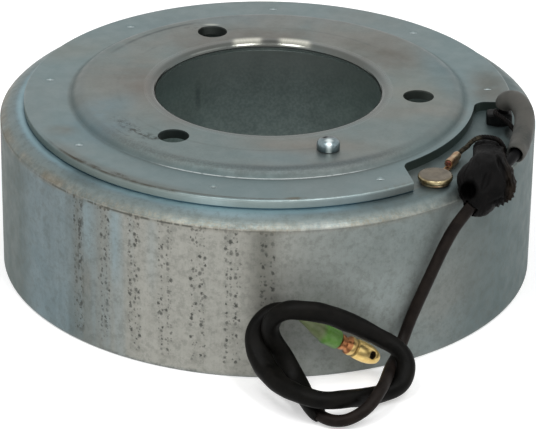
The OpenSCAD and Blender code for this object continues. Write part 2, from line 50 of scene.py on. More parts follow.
# Main sizes in millimetres, as in the part's source
SHELL_R = 56.0
SHELL_H = 34.8
SHOULDER_DROP = 2.2
SHOULDER_W = 4.7
CORNER_Z = SHELL_H - SHOULDER_DROP
DEGREE_MM = SHELL_R * math.pi / 180
FLANGE_Z = 36.8
MARK_COUNT, MARK_FIRST, MARK_STEP, MARK_RADIUS = 8, 5, 42, 46.3
PIN_MIDDLE = (12.21, -30.23)
BOOT_MOUTH = (40.2, -42.2, 35.4)
CONNECTOR_START = np.array([11.6, -58.4, 11.6])
CONNECTOR_END = np.array([22.4, -54.6, 4.1])
BULLET_HOLE = np.array([21.35, -56.45, 5.85])

# Looks: one mark is dull, the marks' painted glints are laid along the slope of the line of sight, and the
# shell's pits stand in columns of degrees
DULL_MARK = 6
DULL_MIDDLE = (-10.4, -45.1)
GLINT_SIGHT_SLOPE = 2.024
COLUMN_START, COLUMN_STEP = -41.9, 7.07

# Camera
TILT = math.radians(26.291)
ROLL = math.radians(0.844)
LENS = 208.2
DISTANCE = 664.8 * MM
SHIFT_RIGHT = 0.35 * MM
SHIFT_UP = 7.69 * MM

forward = Vector((0, math.cos(TILT), -math.sin(TILT)))
right = Vector((1, 0, 0))
up = Vector((0, math.sin(TILT), math.cos(TILT)))
place = -DISTANCE * forward + SHIFT_RIGHT * right + SHIFT_UP * up
rolled_right = math.cos(ROLL) * right + math.sin(ROLL) * up
rolled_up = -math.sin(ROLL) * right + math.cos(ROLL) * up
camera_data = bpy.data.cameras.new("camera")
camera_data.lens = LENS
camera_data.sensor_width = 36
camera_data.clip_start = 0.01
camera_data.clip_end = 20
camera = bpy.data.objects.new("camera", camera_data)
turn = Matrix((rolled_right, rolled_up, -forward)).transposed()
camera.matrix_world = Matrix.Translation(place) @ turn.to_4x4()
bpy.context.scene.collection.objects.link(camera)
bpy.context.scene.camera = camera


# Curves and tubes
def on_curve(p, i, t):
    """A point of the smooth curve through p, at the share t of the stretch i."""
    a, b, c, d = p[max(i - 1, 0)], p[i], p[i + 1], p[min(i + 2, len(p) - 1)]
    square = 2 * a - 5 * b + 4 * c - d
    cube = 3 * b - a - 3 * c + d
    return (2 * b + (c - a) * t + square * t * t + cube * t ** 3) / 2


def smooth_path(points, step, first=0, last=None):
    """Points of the smooth curve, about one step apart, from point first to point last."""
    p = np.asarray(points, float)
    last = len(p) - 1 if last is None else last
    out = []
    for i in range(first, last):
        count = max(1, round(float(np.linalg.norm(p[i + 1] - p[i])) / step))
        out += [on_curve(p, i, k / count) for k in range(count)]
    return np.array(out + [p[last]])


def run_along(path):
    """The way from the start of a path to each of its points."""
    return np.concatenate([[0], np.cumsum(np.linalg.norm(np.diff(path, axis=0), axis=1))])


def round_angles(sides, shift=0.5):
    """The angles of a ring's points."""
    return 2 * np.pi * (np.arange(sides) + shift) / sides


def from_ends(count):
    """How many rings away the nearer end is."""
    return np.minimum(np.arange(count), np.arange(count)[::-1])


def frames(path, heading=None):
    """Heading and two side directions at each point, carried along without twist."""
    t = np.gradient(path, axis=0) if heading is None else heading
    t = t / np.linalg.norm(t, axis=1)[:, None]
    s = np.cross(t[0], [0.3, 0.2, 1.0])
    sides = []
    for h in t:
        s = s - (s @ h) * h
        s = s / np.linalg.norm(s)
        sides.append(s)
    sides = np.array(sides)
    return t, sides, np.cross(t, sides)


def add_object(name, verts, faces, material, smooth=True, crease=40):
    """An object of the model, shaded smooth but for its edges sharper than crease degrees."""
    mesh = bpy.data.meshes.new(name)
    mesh.from_pydata([tuple(v) for v in verts], [], faces)
    mesh.validate()
    bm = bmesh.new()
    bm.from_mesh(mesh)
    bmesh.ops.recalc_face_normals(bm, faces=bm.faces)
    for edge in bm.edges:
        edge.smooth = edge.calc_face_angle(0) < math.radians(crease)
    bm.to_mesh(mesh)
    bm.free()
    mesh.polygons.foreach_set("use_smooth", [smooth] * len(mesh.polygons))
    mesh.materials.append(material)
    obj = bpy.data.objects.new(name, mesh)
    bpy.context.scene.collection.objects.link(obj)
    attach(obj, "root")
    return obj


def ring_faces(rings, sides, closed=False):
    """Side faces of a skin over rings of equal count, joined end to end where closed."""
    out = []
    for i in range(rings if closed else rings - 1):
        a, b = i * sides, ((i + 1) % rings) * sides
        for j in range(sides):
            k = (j + 1) % sides
            out.append((a + j, b + j, b + k, a + k))
    return out


def capped_faces(rings, sides):
    """Side faces of a skin over rings, and a face at each end."""
    last = (rings - 1) * sides
    return ring_faces(rings, sides) + [list(range(sides)), list(range(last, last + sides))[::-1]]


def tube_parts(path, radius, sides, heading=None):
    """Rings of a tube: radius is a number, or has a number or a row for each ring."""
    t, s, w = frames(path, heading)
    a = round_angles(sides)
    r = np.asarray(radius, float)
    r = r[:, None] if r.ndim == 1 else r
    ring = np.cos(a)[None, :, None] * s[:, None, :] + np.sin(a)[None, :, None] * w[:, None, :]
    return path[:, None, :] + r[..., None] * ring


def solid_tube(name, path, radius, sides, material, heading=None):
    """A tube that is closed at both ends."""
    rings = tube_parts(path, radius, sides, heading)
    return add_object(name, rings.reshape(-1, 3), capped_faces(len(rings), sides), material)


def hollow_tube(name, outside, inside, material):
    """A tube with a wall, from its outer and inner rings."""
    count, sides = outside.shape[:2]
    rings = np.concatenate([outside, inside[::-1]])
    return add_object(name, rings.reshape(-1, 3), ring_faces(2 * count, sides, True), material)


def wobble(count, sides, size, reach, seed):
    """Smooth random numbers round and along a tube, size high and reach rings long."""
    rough = np.random.default_rng(seed).standard_normal((count, sides))
    along = np.exp(-(np.arange(-2 * reach, 2 * reach + 1) / reach) ** 2)
    along /= np.sqrt((along ** 2).sum())
    rough = np.apply_along_axis(
        lambda c: np.convolve(np.pad(c, 2 * reach, mode="reflect"), along, "valid"), 0, rough)
    k = np.exp(-(np.arange(-3, 4) / 1.6) ** 2)
    k /= np.sqrt((k ** 2).sum())
    return size * sum(k[i] * np.roll(rough, i - 3, axis=1) for i in range(7))


def twisted(name, path, strand_r, count, lay_r, pitch, sides, material):
    """Strands that run twisted round a core on a path, as one piece."""
    t, s, w = frames(path)
    run = run_along(path)
    verts, faces = [], []
    for k in range(count + 1):
        turn = 2 * np.pi * (k / count + run / pitch)
        reach = 0 if k == count else lay_r
        own = path + reach * (np.cos(turn)[:, None] * s + np.sin(turn)[:, None] * w)
        first = len(verts) * len(path) * sides
        verts.append(tube_parts(own, strand_r if k < count else lay_r - 0.3 * strand_r, sides).reshape(-1, 3))
        faces += [tuple(first + i for i in f) for f in capped_faces(len(path), sides)]
    return add_object(name, np.concatenate(verts), faces, material)


def lathe_rings(name, middles, radii, x, y, sides, material, closed):
    """A turned piece from the middles and radii of its rings; a ring of no radius is a point."""
    a = round_angles(sides, 0)
    ring = np.cos(a)[:, None] * x + np.sin(a)[:, None] * y
    verts, starts = [], []
    for middle, r in zip(middles, radii):
        starts.append(len(verts))
        verts += [middle] if r == 0 else list(middle + r * ring)
    faces = []
    count = len(radii)
    for i in range(count if closed else count - 1):
        k = (i + 1) % count
        for j in range(sides):
            n = (j + 1) % sides
            if radii[i] == 0:
                faces.append((starts[i], starts[k] + j, starts[k] + n))
            elif radii[k] == 0:
                faces.append((starts[i] + j, starts[k], starts[i] + n))
            else:
                faces.append((starts[i] + j, starts[k] + j, starts[k] + n, starts[i] + n))
    return add_object(name, verts, faces, material)


def lathe(name, base, profile, sides, material, closed=False):
    """A piece turned about an upright axis; the profile is radius and height in millimetres."""
    middles = [MM * np.array([base[0], base[1], z]) for r, z in profile]
    return lathe_rings(name, middles, [MM * r for r, z in profile], np.array([1, 0, 0]), np.array([0, 1, 0]),
                       sides, material, closed)


def lathe_along(name, start, end, profile, sides, material):
    """A piece turned about the line from start to end; the profile is radius and distance."""
    a, b = np.array(start, float), np.array(end, float)
    aim = (b - a) / np.linalg.norm(b - a)
    x = np.cross(aim, [0.3, 0.2, 1.0])
    x /= np.linalg.norm(x)
    return lathe_rings(name, [MM * (a + d * aim) for r, d in profile], [MM * r for r, d in profile], x,
                       np.cross(aim, x), sides, material, False)


# Materials
def linear(r, g, b):
    """A colour given as it shows on the screen, 0 to 255, in the numbers that nodes use."""
    return tuple(((c / 255 + 0.055) / 1.055) ** 2.4 if c > 10 else c / 3294 for c in (r, g, b))


class Paint:
    """A material, the colour laid on it so far, and short ways to add nodes.

    A share is a number, a node output, or a tuple that stands for a span. A tone is a node
    output, or a tuple of three screen values. Lengths are in millimetres.
    """

    def __init__(self, name, **values):
        self.material = bpy.data.materials.new(name)
        self.material.use_nodes = True
        self.tree = self.material.node_tree
        self.shader = self.tree.nodes["Principled BSDF"]
        for key, value in values.items():
            self.shader.inputs[key.replace("_", " ")].default_value = value
        self.place = self.tree.nodes.new("ShaderNodeTexCoord").outputs["Object"]
        self.in_mm = self.stretched(1 / MM, 1 / MM, 1 / MM)
        self.x, self.y, self.z = self.add("ShaderNodeSeparateXYZ", {"Vector": self.in_mm}).outputs
        self.color = None

    def put(self, socket, value):
        if isinstance(value, bpy.types.NodeSocket):
            self.tree.links.new(value, socket)
        elif hasattr(value, "__len__") and len(value) == 3 and len(socket.default_value) == 4:
            socket.default_value = (*value, 1)
        else:
            socket.default_value = value

    def add(self, kind, inputs, **settings):
        node = self.tree.nodes.new(kind)
        for key, value in settings.items():
            setattr(node, key, value)
        for key, value in inputs.items():
            self.put(node.inputs[key], value)
        return node

    def math(self, operation, a, b=0.0, clamp=False):
        return self.add("ShaderNodeMath", {0: a, 1: b}, operation=operation, use_clamp=clamp).outputs[0]

    def vector(self, operation, a, b=(0, 0, 0)):
        node = self.add("ShaderNodeVectorMath", {0: a, 1: b}, operation=operation)
        return node.outputs["Value" if operation in ("LENGTH", "DOT_PRODUCT") else "Vector"]

    def combined(self, x, y=0.0):
        """A vector that lies flat, for patterns in two directions."""
        return self.add("ShaderNodeCombineXYZ", {"X": x, "Y": y, "Z": 0.0}).outputs[0]

    def stretched(self, x, y, z, source=None):
        """The object's coordinates in metres, or a source, scaled along each axis."""
        source = self.place if source is None else source
        return self.add("ShaderNodeMapping", {"Vector": source, "Scale": (x, y, z)}).outputs[0]

    def noise(self, scale, detail, roughness, vector=None, distortion=0.0):
        """Soft random shares; the scale is per metre, or per unit of the vector."""
        return self.add("ShaderNodeTexNoise", {
            "Vector": self.place if vector is None else vector, "Scale": scale, "Detail": detail,
            "Roughness": roughness, "Distortion": distortion,
        }).outputs["Fac"]

    def span(self, value, low, high, out_low=0.0, out_high=1.0, soft=True):
        """value between low and high becomes out_low to out_high, held at both ends."""
        values = {"Value": value, "From Min": low, "From Max": high, "To Min": out_low, "To Max": out_high}
        kind = "SMOOTHSTEP" if soft else "LINEAR"
        return self.add("ShaderNodeMapRange", values, interpolation_type=kind, clamp=True).outputs["Result"]

    def bell(self, value, middle, half):
        """1 where value is at the middle, down to 0 at half a width away."""
        return self.span(self.math("ABSOLUTE", self.math("SUBTRACT", value, middle)), 0, half, 1, 0)

    def window(self, value, rise, full, fall, none):
        """0 up to rise, 1 from full to fall, and 0 again from none on."""
        return self.product((value, rise, full), (value, none, fall))

    def product(self, *shares):
        """All the shares multiplied."""
        out = None
        for share in shares:
            share = self.span(*share) if isinstance(share, tuple) else share
            out = share if out is None else self.math("MULTIPLY", out, share)
        return out

    def either(self, first, *others):
        """The sum of the shares, at most 1."""
        out = self.product(first)
        for share in others:
            out = self.math("ADD", out, self.product(share), True)
        return out

    def mix(self, share, a, b):
        """Tone a where the share is 0 and tone b where it is 1."""
        node = self.tree.nodes.new("ShaderNodeMix")
        node.data_type = "RGBA"
        self.put(node.inputs[0], self.product(share))
        for key, tone in ((6, a), (7, b)):
            self.put(node.inputs[key], linear(*tone) if isinstance(tone, tuple) else tone)
        return node.outputs[2]

    def graded(self, tone, *steps):
        """A tone with others mixed over it in turn, from pairs of share and tone."""
        for share, over in steps:
            tone = self.mix(share, tone, over)
        return tone

    def lay(self, tone, *shares):
        """Lays a tone over the colour, by the product of the shares."""
        self.color = self.mix(self.product(*shares), self.color, tone)

    def spot(self, middle, size, turn=0.0, source=None):
        """1 at a place seen from above, down to 0 at size away from it, as a soft oval."""
        centred = self.vector("SUBTRACT", self.in_mm if source is None else source, (*middle, 0))
        turned = self.add("ShaderNodeVectorRotate", {"Vector": centred, "Angle": math.radians(-turn)},
                          rotation_type="Z_AXIS").outputs[0]
        flat = self.vector("MULTIPLY", turned, (1 / size[0], 1 / size[1], 0))
        return self.span(self.vector("LENGTH", flat), 0.15, 1.0, 1, 0)

    def away_from(self, point):
        """The distance from a point."""
        return self.vector("LENGTH", self.vector("SUBTRACT", self.in_mm, tuple(point)))

    def along_connector(self):
        """0 at the connector's start and 1 at its end."""
        start, end = Vector(CONNECTOR_START), Vector(CONNECTOR_END)
        step = (end - start) / (end - start).length_squared
        return self.vector("DOT_PRODUCT", self.vector("SUBTRACT", self.in_mm, tuple(start)), tuple(step))

    def round_axis(self):
        """The angle from the front in degrees, plus to the right, and the distance from the axis."""
        angle = self.math("ARCTAN2", self.x, self.product(self.y, -1.0))
        squares = self.math("ADD", self.product(self.x, self.x), self.product(self.y, self.y))
        return self.product(angle, 180 / math.pi), self.math("SQRT", squares)

    def bump(self, height, strength, distance, normal=None):
        values = {"Height": height, "Strength": strength, "Distance": distance}
        if normal is not None:
            values["Normal"] = normal
        return self.add("ShaderNodeBump", values).outputs[0]

    def finish(self, roughness, normal):
        """Joins the colour, a share as the roughness, and the relief to the shader."""
        values = {"Base Color": self.color, "Roughness": self.product(roughness), "Normal": normal}
        for key, value in values.items():
            self.put(self.shader.inputs[key], value)
        return self.material


def zinc_base(p, cool, warm, pale, patch, grain):
    """Zinc plating: soft patches of three tones, under a fine grain."""
    broad = p.noise(patch, 4.0, 0.55, distortion=0.8)
    second = p.noise(patch * 2.7, 4.0, 0.6, p.stretched(1.0, 1.3, 0.8))
    fine = p.noise(grain, 2.0, 0.6)
    p.color = p.graded(cool, ((broad, 0.38, 0.66), warm), ((second, 0.48, 0.76, 0, 0.5), pale),
                       ((fine, 0.35, 0.75, 0, 0.10), (40, 46, 46)))


def zinc_relief(p):
    """The fine unevenness of zinc plating."""
    height = p.math("ADD", p.noise(1500, 3.0, 0.6), p.product(p.noise(120, 2.0, 0.5), 0.6))
    return p.bump(height, 0.16, 0.00010)


def column_turns(p, value, start, step):
    """Which column of pits a place is in, counted from the first, and how far off its middle."""
    turns = p.math("DIVIDE", p.math("SUBTRACT", value, start), step)
    return turns, p.math("ABSOLUTE", p.math("SUBTRACT", turns, p.math("ROUND", turns)))


def pit_layer(p, wrapped, squeeze, sizes, ends, chance, lean=0.0):
    """Small pits in upright columns of two rows each: 1 inside a pit, which is kept or left out whole."""
    shifted = p.vector("ADD", wrapped, (lean, 3.7 * lean, 0))
    values = {"Vector": p.stretched(*squeeze, 1, shifted), "Scale": 1.0, "Randomness": 1.0}
    cell = p.add("ShaderNodeTexVoronoi", values, voronoi_dimensions="2D")
    own = p.add("ShaderNodeSeparateXYZ", {"Vector": cell.outputs["Position"]}).outputs
    pick = p.add("ShaderNodeSeparateColor", {"Color": cell.outputs["Color"]}).outputs
    turns, near = column_turns(p, p.math("DIVIDE", own[0], squeeze[0]), COLUMN_START * DEGREE_MM + lean,
                               COLUMN_STEP * DEGREE_MM)
    in_row = p.span(p.math("ABSOLUTE", p.math("SUBTRACT", near, 0.12)), 0.04, 0.13, chance, 0.0)
    size = p.span(pick[1], 0.0, 1.0, *sizes, soft=False)
    ragged = p.span(p.noise(3.2, 3.0, 0.7, wrapped), 0.3, 0.7, -0.16, 0.16, soft=False)
    inside = p.math("DIVIDE", p.math("ADD", cell.outputs["Distance"], ragged), size)
    return p.product(p.math("LESS_THAN", pick[0], in_row), p.math("GREATER_THAN", turns, ends[0]),
                     p.math("LESS_THAN", turns, ends[1]), (inside, 1.15, 0.4), (pick[2], 0.0, 1.0, 0.55, 1.0))


# Dark spots on the left of the shell's shoulder: middle, size and turn
SHOULDER_SPOTS = (
    ((-51.9, -23.0), (0.8, 1.6), -20), ((-49.6, -27.2), (1.5, 0.5), -30), ((-50.6, -24.6), (1.0, 0.4), 50))


def shell_material():
    """Zinc on the turned cup, in other tones on its side, its shoulder and in its bore, with painted light
    and shade on all three.
    """
    p = Paint("shell_zinc")
    angle, across = p.round_axis()
    z, arc = p.z, partial(p.window, angle)
    zinc_base(p, (100, 112, 112), (108, 112, 108), (120, 124, 120), 30, 2000)
    side = p.span(across, SHELL_R - 0.3, SHELL_R - 0.05)
    wrapped = p.combined(p.product(angle, DEGREE_MM), z)
    tall = p.stretched(1 / MM, 1 / MM, 0.06 / MM)

    # The side: warm in front, blue to the left, grey-blue to the right; painted shade darkens it where it
    # turns away to the back, most on the right, and painted light lifts it beside the lead
    p.lay((163, 162, 154), side, arc(-46, -24, -4, 30), 0.88)
    p.lay((144, 151, 148), side, arc(-5, 12, 24, 54), 0.6)
    p.lay((108, 120, 119), side, arc(2, 26, 40, 60), (z, 13, 28), 0.50)
    p.lay((114, 132, 138), side, arc(-80, -58, -50, -40), 0.65)
    # Painted shade where the side turns away to the back, darkest on the right
    p.lay((84, 95, 92), arc(-150, -110, -66, -56), 0.8)
    p.lay((80, 94, 95), arc(36, 62, 110, 150), 0.85)
    p.lay((58, 72, 72), side, arc(60, 72, 110, 150), 0.75)
    # Painted light beside the lead
    p.lay((152, 164, 163), side, p.bell(angle, 25, 11), p.bell(z, 15, 9), 0.35)

    # Pale blue bands between the columns of pits
    p.lay((126, 144, 150), (p.noise(0.33, 2.0, 0.5, tall), 0.44, 0.66), side, arc(-62, -50, -34, -20), 0.34)
    strips = p.either(p.bell(angle, -39.4, 2.6), p.bell(angle, -32.2, 2.3),
                      p.product(p.bell(angle, -23.6, 2.2), 0.35))
    ragged_z = p.math("ADD", z, p.product(p.noise(0.12, 2.0, 0.5, p.in_mm), 12))
    p.lay((132, 152, 158), strips, side, (ragged_z, 20, 31), 0.6)

    # Upright shade beside the last column, faint upright rolling marks, grain, and dirt at the foot
    p.lay((90, 90, 82), p.bell(angle, -0.6, 5.4), side, (z, 10, 20), 0.66)
    p.lay((100, 104, 100), side, (p.noise(2.4, 4.0, 0.65, tall), 0.50, 0.72, 0, 0.14), (angle, -72, -56))
    grain = p.noise(850, 4.0, 0.75)
    p.lay((88, 88, 82), side, (grain, 0.42, 0.66, 0, 0.17))
    p.lay((40, 42, 38), p.bell(z, 0.2, 0.9), side, arc(-38, -32, -14, -8), (grain, 0.44, 0.56), 0.75)

    # Worn ground round the columns, and two sizes of pits in it, in front and once more behind
    turns, near = column_turns(p, angle, COLUMN_START, COLUMN_STEP)
    p.lay((112, 108, 96), (near, 0.34, 0.16), p.window(turns, -0.3, 0.0, 6.2, 6.5), side,
          (p.noise(0.9, 4.0, 0.7, p.in_mm), 0.40, 0.66, 0.02, 0.22), (angle, -18, -30, 0.5, 1))
    large = pit_layer(p, wrapped, (1.0, 0.80), (0.19, 0.50), (-0.3, 6.5), 0.66)
    small = pit_layer(p, wrapped, (1.5, 1.3), (0.16, 0.36), (-0.3, 6.5), 0.50, 0.3)
    rear = pit_layer(p, wrapped, (1.0, 0.9), (0.12, 0.34), (22.0, 26.5), 0.7)
    drawn = p.noise(1.0, 3.0, 0.6, p.stretched(1.1, 0.5, 1, wrapped))
    first_column = p.product(p.bell(angle, COLUMN_START + 0.6, 1.3), (drawn, 0.51, 0.57), 0.95)
    front = p.math("MAXIMUM", p.math("MAXIMUM", large, p.product(small, 0.7)), first_column)
    pits = p.product(p.either(front, p.product(rear, 0.8)), side, (z, 1.5, 4))
    p.lay((48, 50, 46), pits, 0.88)

    # The turned shoulder: blue beside the plate, then grey, paler in front as painted light, darker to the
    # right and back as painted shade and darker at its left front, with a painted shadow by the bushing
    top = p.span(across, SHELL_R - 0.02, SHELL_R - 0.3)
    on_top = p.span(across, 50, 50.6)
    p.lay((112, 124, 124), on_top, (z, 32.7, 33.0))
    p.lay((106, 130, 140), (across, 53.8, 52.0), on_top, arc(-130, -80, 14, 34), 0.62)
    # Painted light: paler in front
    p.lay((136, 158, 164), (across, 54.4, 53.0), on_top, p.bell(angle, -8, 20), 0.75)
    # Painted shade to the right and back, and darker at the left front
    dim = p.either(arc(12, 28, 110, 150), p.bell(angle, -44, 9))
    p.lay((80, 94, 96), dim, (across, 54.6, 53.4), on_top, 0.62)
    for middle, size, turn in SHOULDER_SPOTS:
        p.lay((48, 48, 40), p.spot(middle, size, turn), (grain, 0.36, 0.56), on_top, top, 0.65)
    # Painted shade to the right and back
    p.lay((88, 102, 102), on_top, arc(40, 66, 110, 150), 0.7)
    # Painted shadow of the bushing on the shell's top
    bushing_shadow = p.product(p.spot((51.2, -14.2), (3.6, 5.4), 12), (across, 49.6, 50.2), top)
    p.lay((30, 34, 33), (bushing_shadow, 0, 0.5, 0, 0.8))

    # Its corner: warm, with a pale painted highlight in front that grows lighter and darker along it; brown
    # to the left, with a broken dark line under it
    corner = p.product(p.bell(z, CORNER_Z + 0.35, 1.5), (across, 53.6, 54.8))
    # Its tone, partly painted highlight, lighter and darker along the front
    corner_tone_and_highlight = p.graded((120, 114, 99), (p.bell(angle, -5, 8), (102, 97, 86)),
                           (p.bell(angle, 11, 8), (134, 134, 128)), (p.bell(angle, -21, 8), (134, 130, 116)))
    fine_lines = p.noise(2.2, 4.0, 0.7, p.combined(angle, p.product(across, 0.06)))
    speckle = p.noise(2300, 2.0, 0.6)
    p.lay(corner_tone_and_highlight, corner, (fine_lines, 0.30, 0.68, 0.55, 1.0), (speckle, 0.36, 0.62, 0.35, 1.0),
          (angle, -60, -20, 0.35, 1), (angle, 22, 44, 1, 0.3), 0.85)
    brown = p.noise(0.10, 3.0, 0.6, p.in_mm)
    p.lay((123, 113, 96), corner, arc(-130, -80, -38, -24), (brown, 0.34, 0.56), 0.65)
    mottle = p.noise(620, 4.0, 0.75)
    p.lay((84, 88, 82), on_top, (mottle, 0.46, 0.64, 0, 0.30))
    p.lay((150, 150, 142), corner, (mottle, 0.50, 0.36, 0, 0.35))
    line = p.bell(z, CORNER_Z - 0.18, 0.34)
    dashes = p.noise(0.35, 5.0, 0.7, tall)
    p.lay((52, 52, 44), line, (dashes, 0.49, 0.54), arc(-58, -50, -12, -8), side, 0.85)
    p.lay((96, 98, 92), line, (dashes, 0.44, 0.60, 0.15, 0.5), side)

    # A thin painted shadow in the joint under the plate, not in the cutout, its tone lighter and darker round
    # it, and the blue beside it, lightened against the plate's shadow as painted light
    in_joint = p.span(z, 34, 34.6)
    # Painted shadow in the joint, lighter and darker round it
    joint_shadow_tone = p.graded((52, 82, 90), ((angle, -44, -22), (122, 162, 174)), ((angle, 14, 26), (60, 78, 82)))
    p.lay(joint_shadow_tone, p.bell(across, 50.9, 0.3), in_joint, p.either((angle, 36, 33), (angle, 93, 97)), 0.8)
    # Painted light: the blue beside the joint, lightened against the plate's shadow
    p.lay((140, 168, 176), p.bell(across, 51.7, 1.3), in_joint, arc(-130, -80, 12, 24),
          (p.bell(angle, -44, 12), 0, 1, 1, 0.35), 0.75)

    # The bore in painted shade, darker down its sides and lighter towards the top, with its upright mark; and
    # painted light at the foot, where the floor lights it
    # Painted shade in the bore
    inside = p.span(across, 41, 38.5)
    aside = p.product((p.math("ABSOLUTE", angle), 172, 142), 0.45)
    dark = p.graded((88, 102, 100), ((p.noise(1700, 2.0, 0.5), 0.35, 0.65), (102, 115, 112)),
                    ((z, 20, 33, 0, 0.8), (128, 136, 132)), (aside, (60, 80, 74)))
    p.lay(dark, inside, 0.85)
    p.lay((40, 50, 50), inside, p.spot((-15.6, 34.8), (0.9, 3.0)), p.bell(z, 20, 5), top, 0.4)
    p.lay((128, 134, 132), (z, 1.2, 0.2), 0.4)

    p.put(p.shader.inputs["Metallic"], p.span(side, 0, 1, 0.88, 0.55))
    roughness = p.math("ADD", p.span(p.noise(260, 3.0, 0.6), 0.3, 0.7, 0.42, 0.56), p.product(side, 0.14))
    return p.finish(roughness, p.bump(p.math("SUBTRACT", 1.0, pits), 0.4, 0.00015, zinc_relief(p)))


# Soft stains on the plate, placed as on the real one: tone, strength, middle, size and turn
STAINS = (
    ((101, 93, 85), 0.7, (-26, 3), (12, 17), 20), ((100, 96, 89), 0.8, (-4, 26.5), (26, 8), 0),
    ((98, 93, 85), 0.8, (24, 17), (13, 15), 40), ((128, 130, 124), 0.4, (-27, 13), (9, 8), 0),
    ((122, 123, 114), 0.4, (30, -2), (12, 22), 0), ((120, 110, 99), 0.55, (8, -29), (16, 7), 0),
    ((114, 108, 100), 0.45, (-18, -15), (10, 9), 40), ((100, 124, 132), 0.75, (-36, -16), (8, 17), -30),
    ((106, 126, 131), 0.4, (6, -35), (22, 7), 0), ((102, 118, 123), 0.4, (-7, 36), (30, 6), 0),
    ((90, 114, 120), 0.6, (37, 10), (6, 20), 10), ((122, 124, 116), 0.5, (-42, 22), (9, 14), -60),
    ((102, 94, 80), 0.75, (-42, -20), (5, 4), 0), ((114, 116, 110), 0.4, (20, 42), (14, 6), -25),
    ((92, 92, 85), 0.8, (46.5, 4), (7, 17), 0), ((92, 116, 126), 0.65, (-32, -22), (9, 6), 40),
    ((92, 88, 82), 0.5, (-15.5, 23), (7, 4), 20), ((98, 112, 112), 0.5, (33, -20), (9, 8), -40),
    ((96, 98, 91), 0.65, (19, 19), (10, 8), -35), ((98, 97, 91), 0.6, (-15, 20), (9, 7), 35),
)
# The same, brown and long, along its left rim: strength, middle, size and turn
RIM_STAINS = (
    (0.7, (-37.3, -33.8), (3.4, 0.7), -42), (0.75, (-34.2, -36.7), (2.6, 0.7), -43),
    (0.8, (-29.3, -40.2), (3.0, 0.9), -35), (0.6, (-27.0, -42.4), (4.0, 0.6), -32),
    (0.5, (-18.7, -47.1), (2.6, 0.6), -21),
)


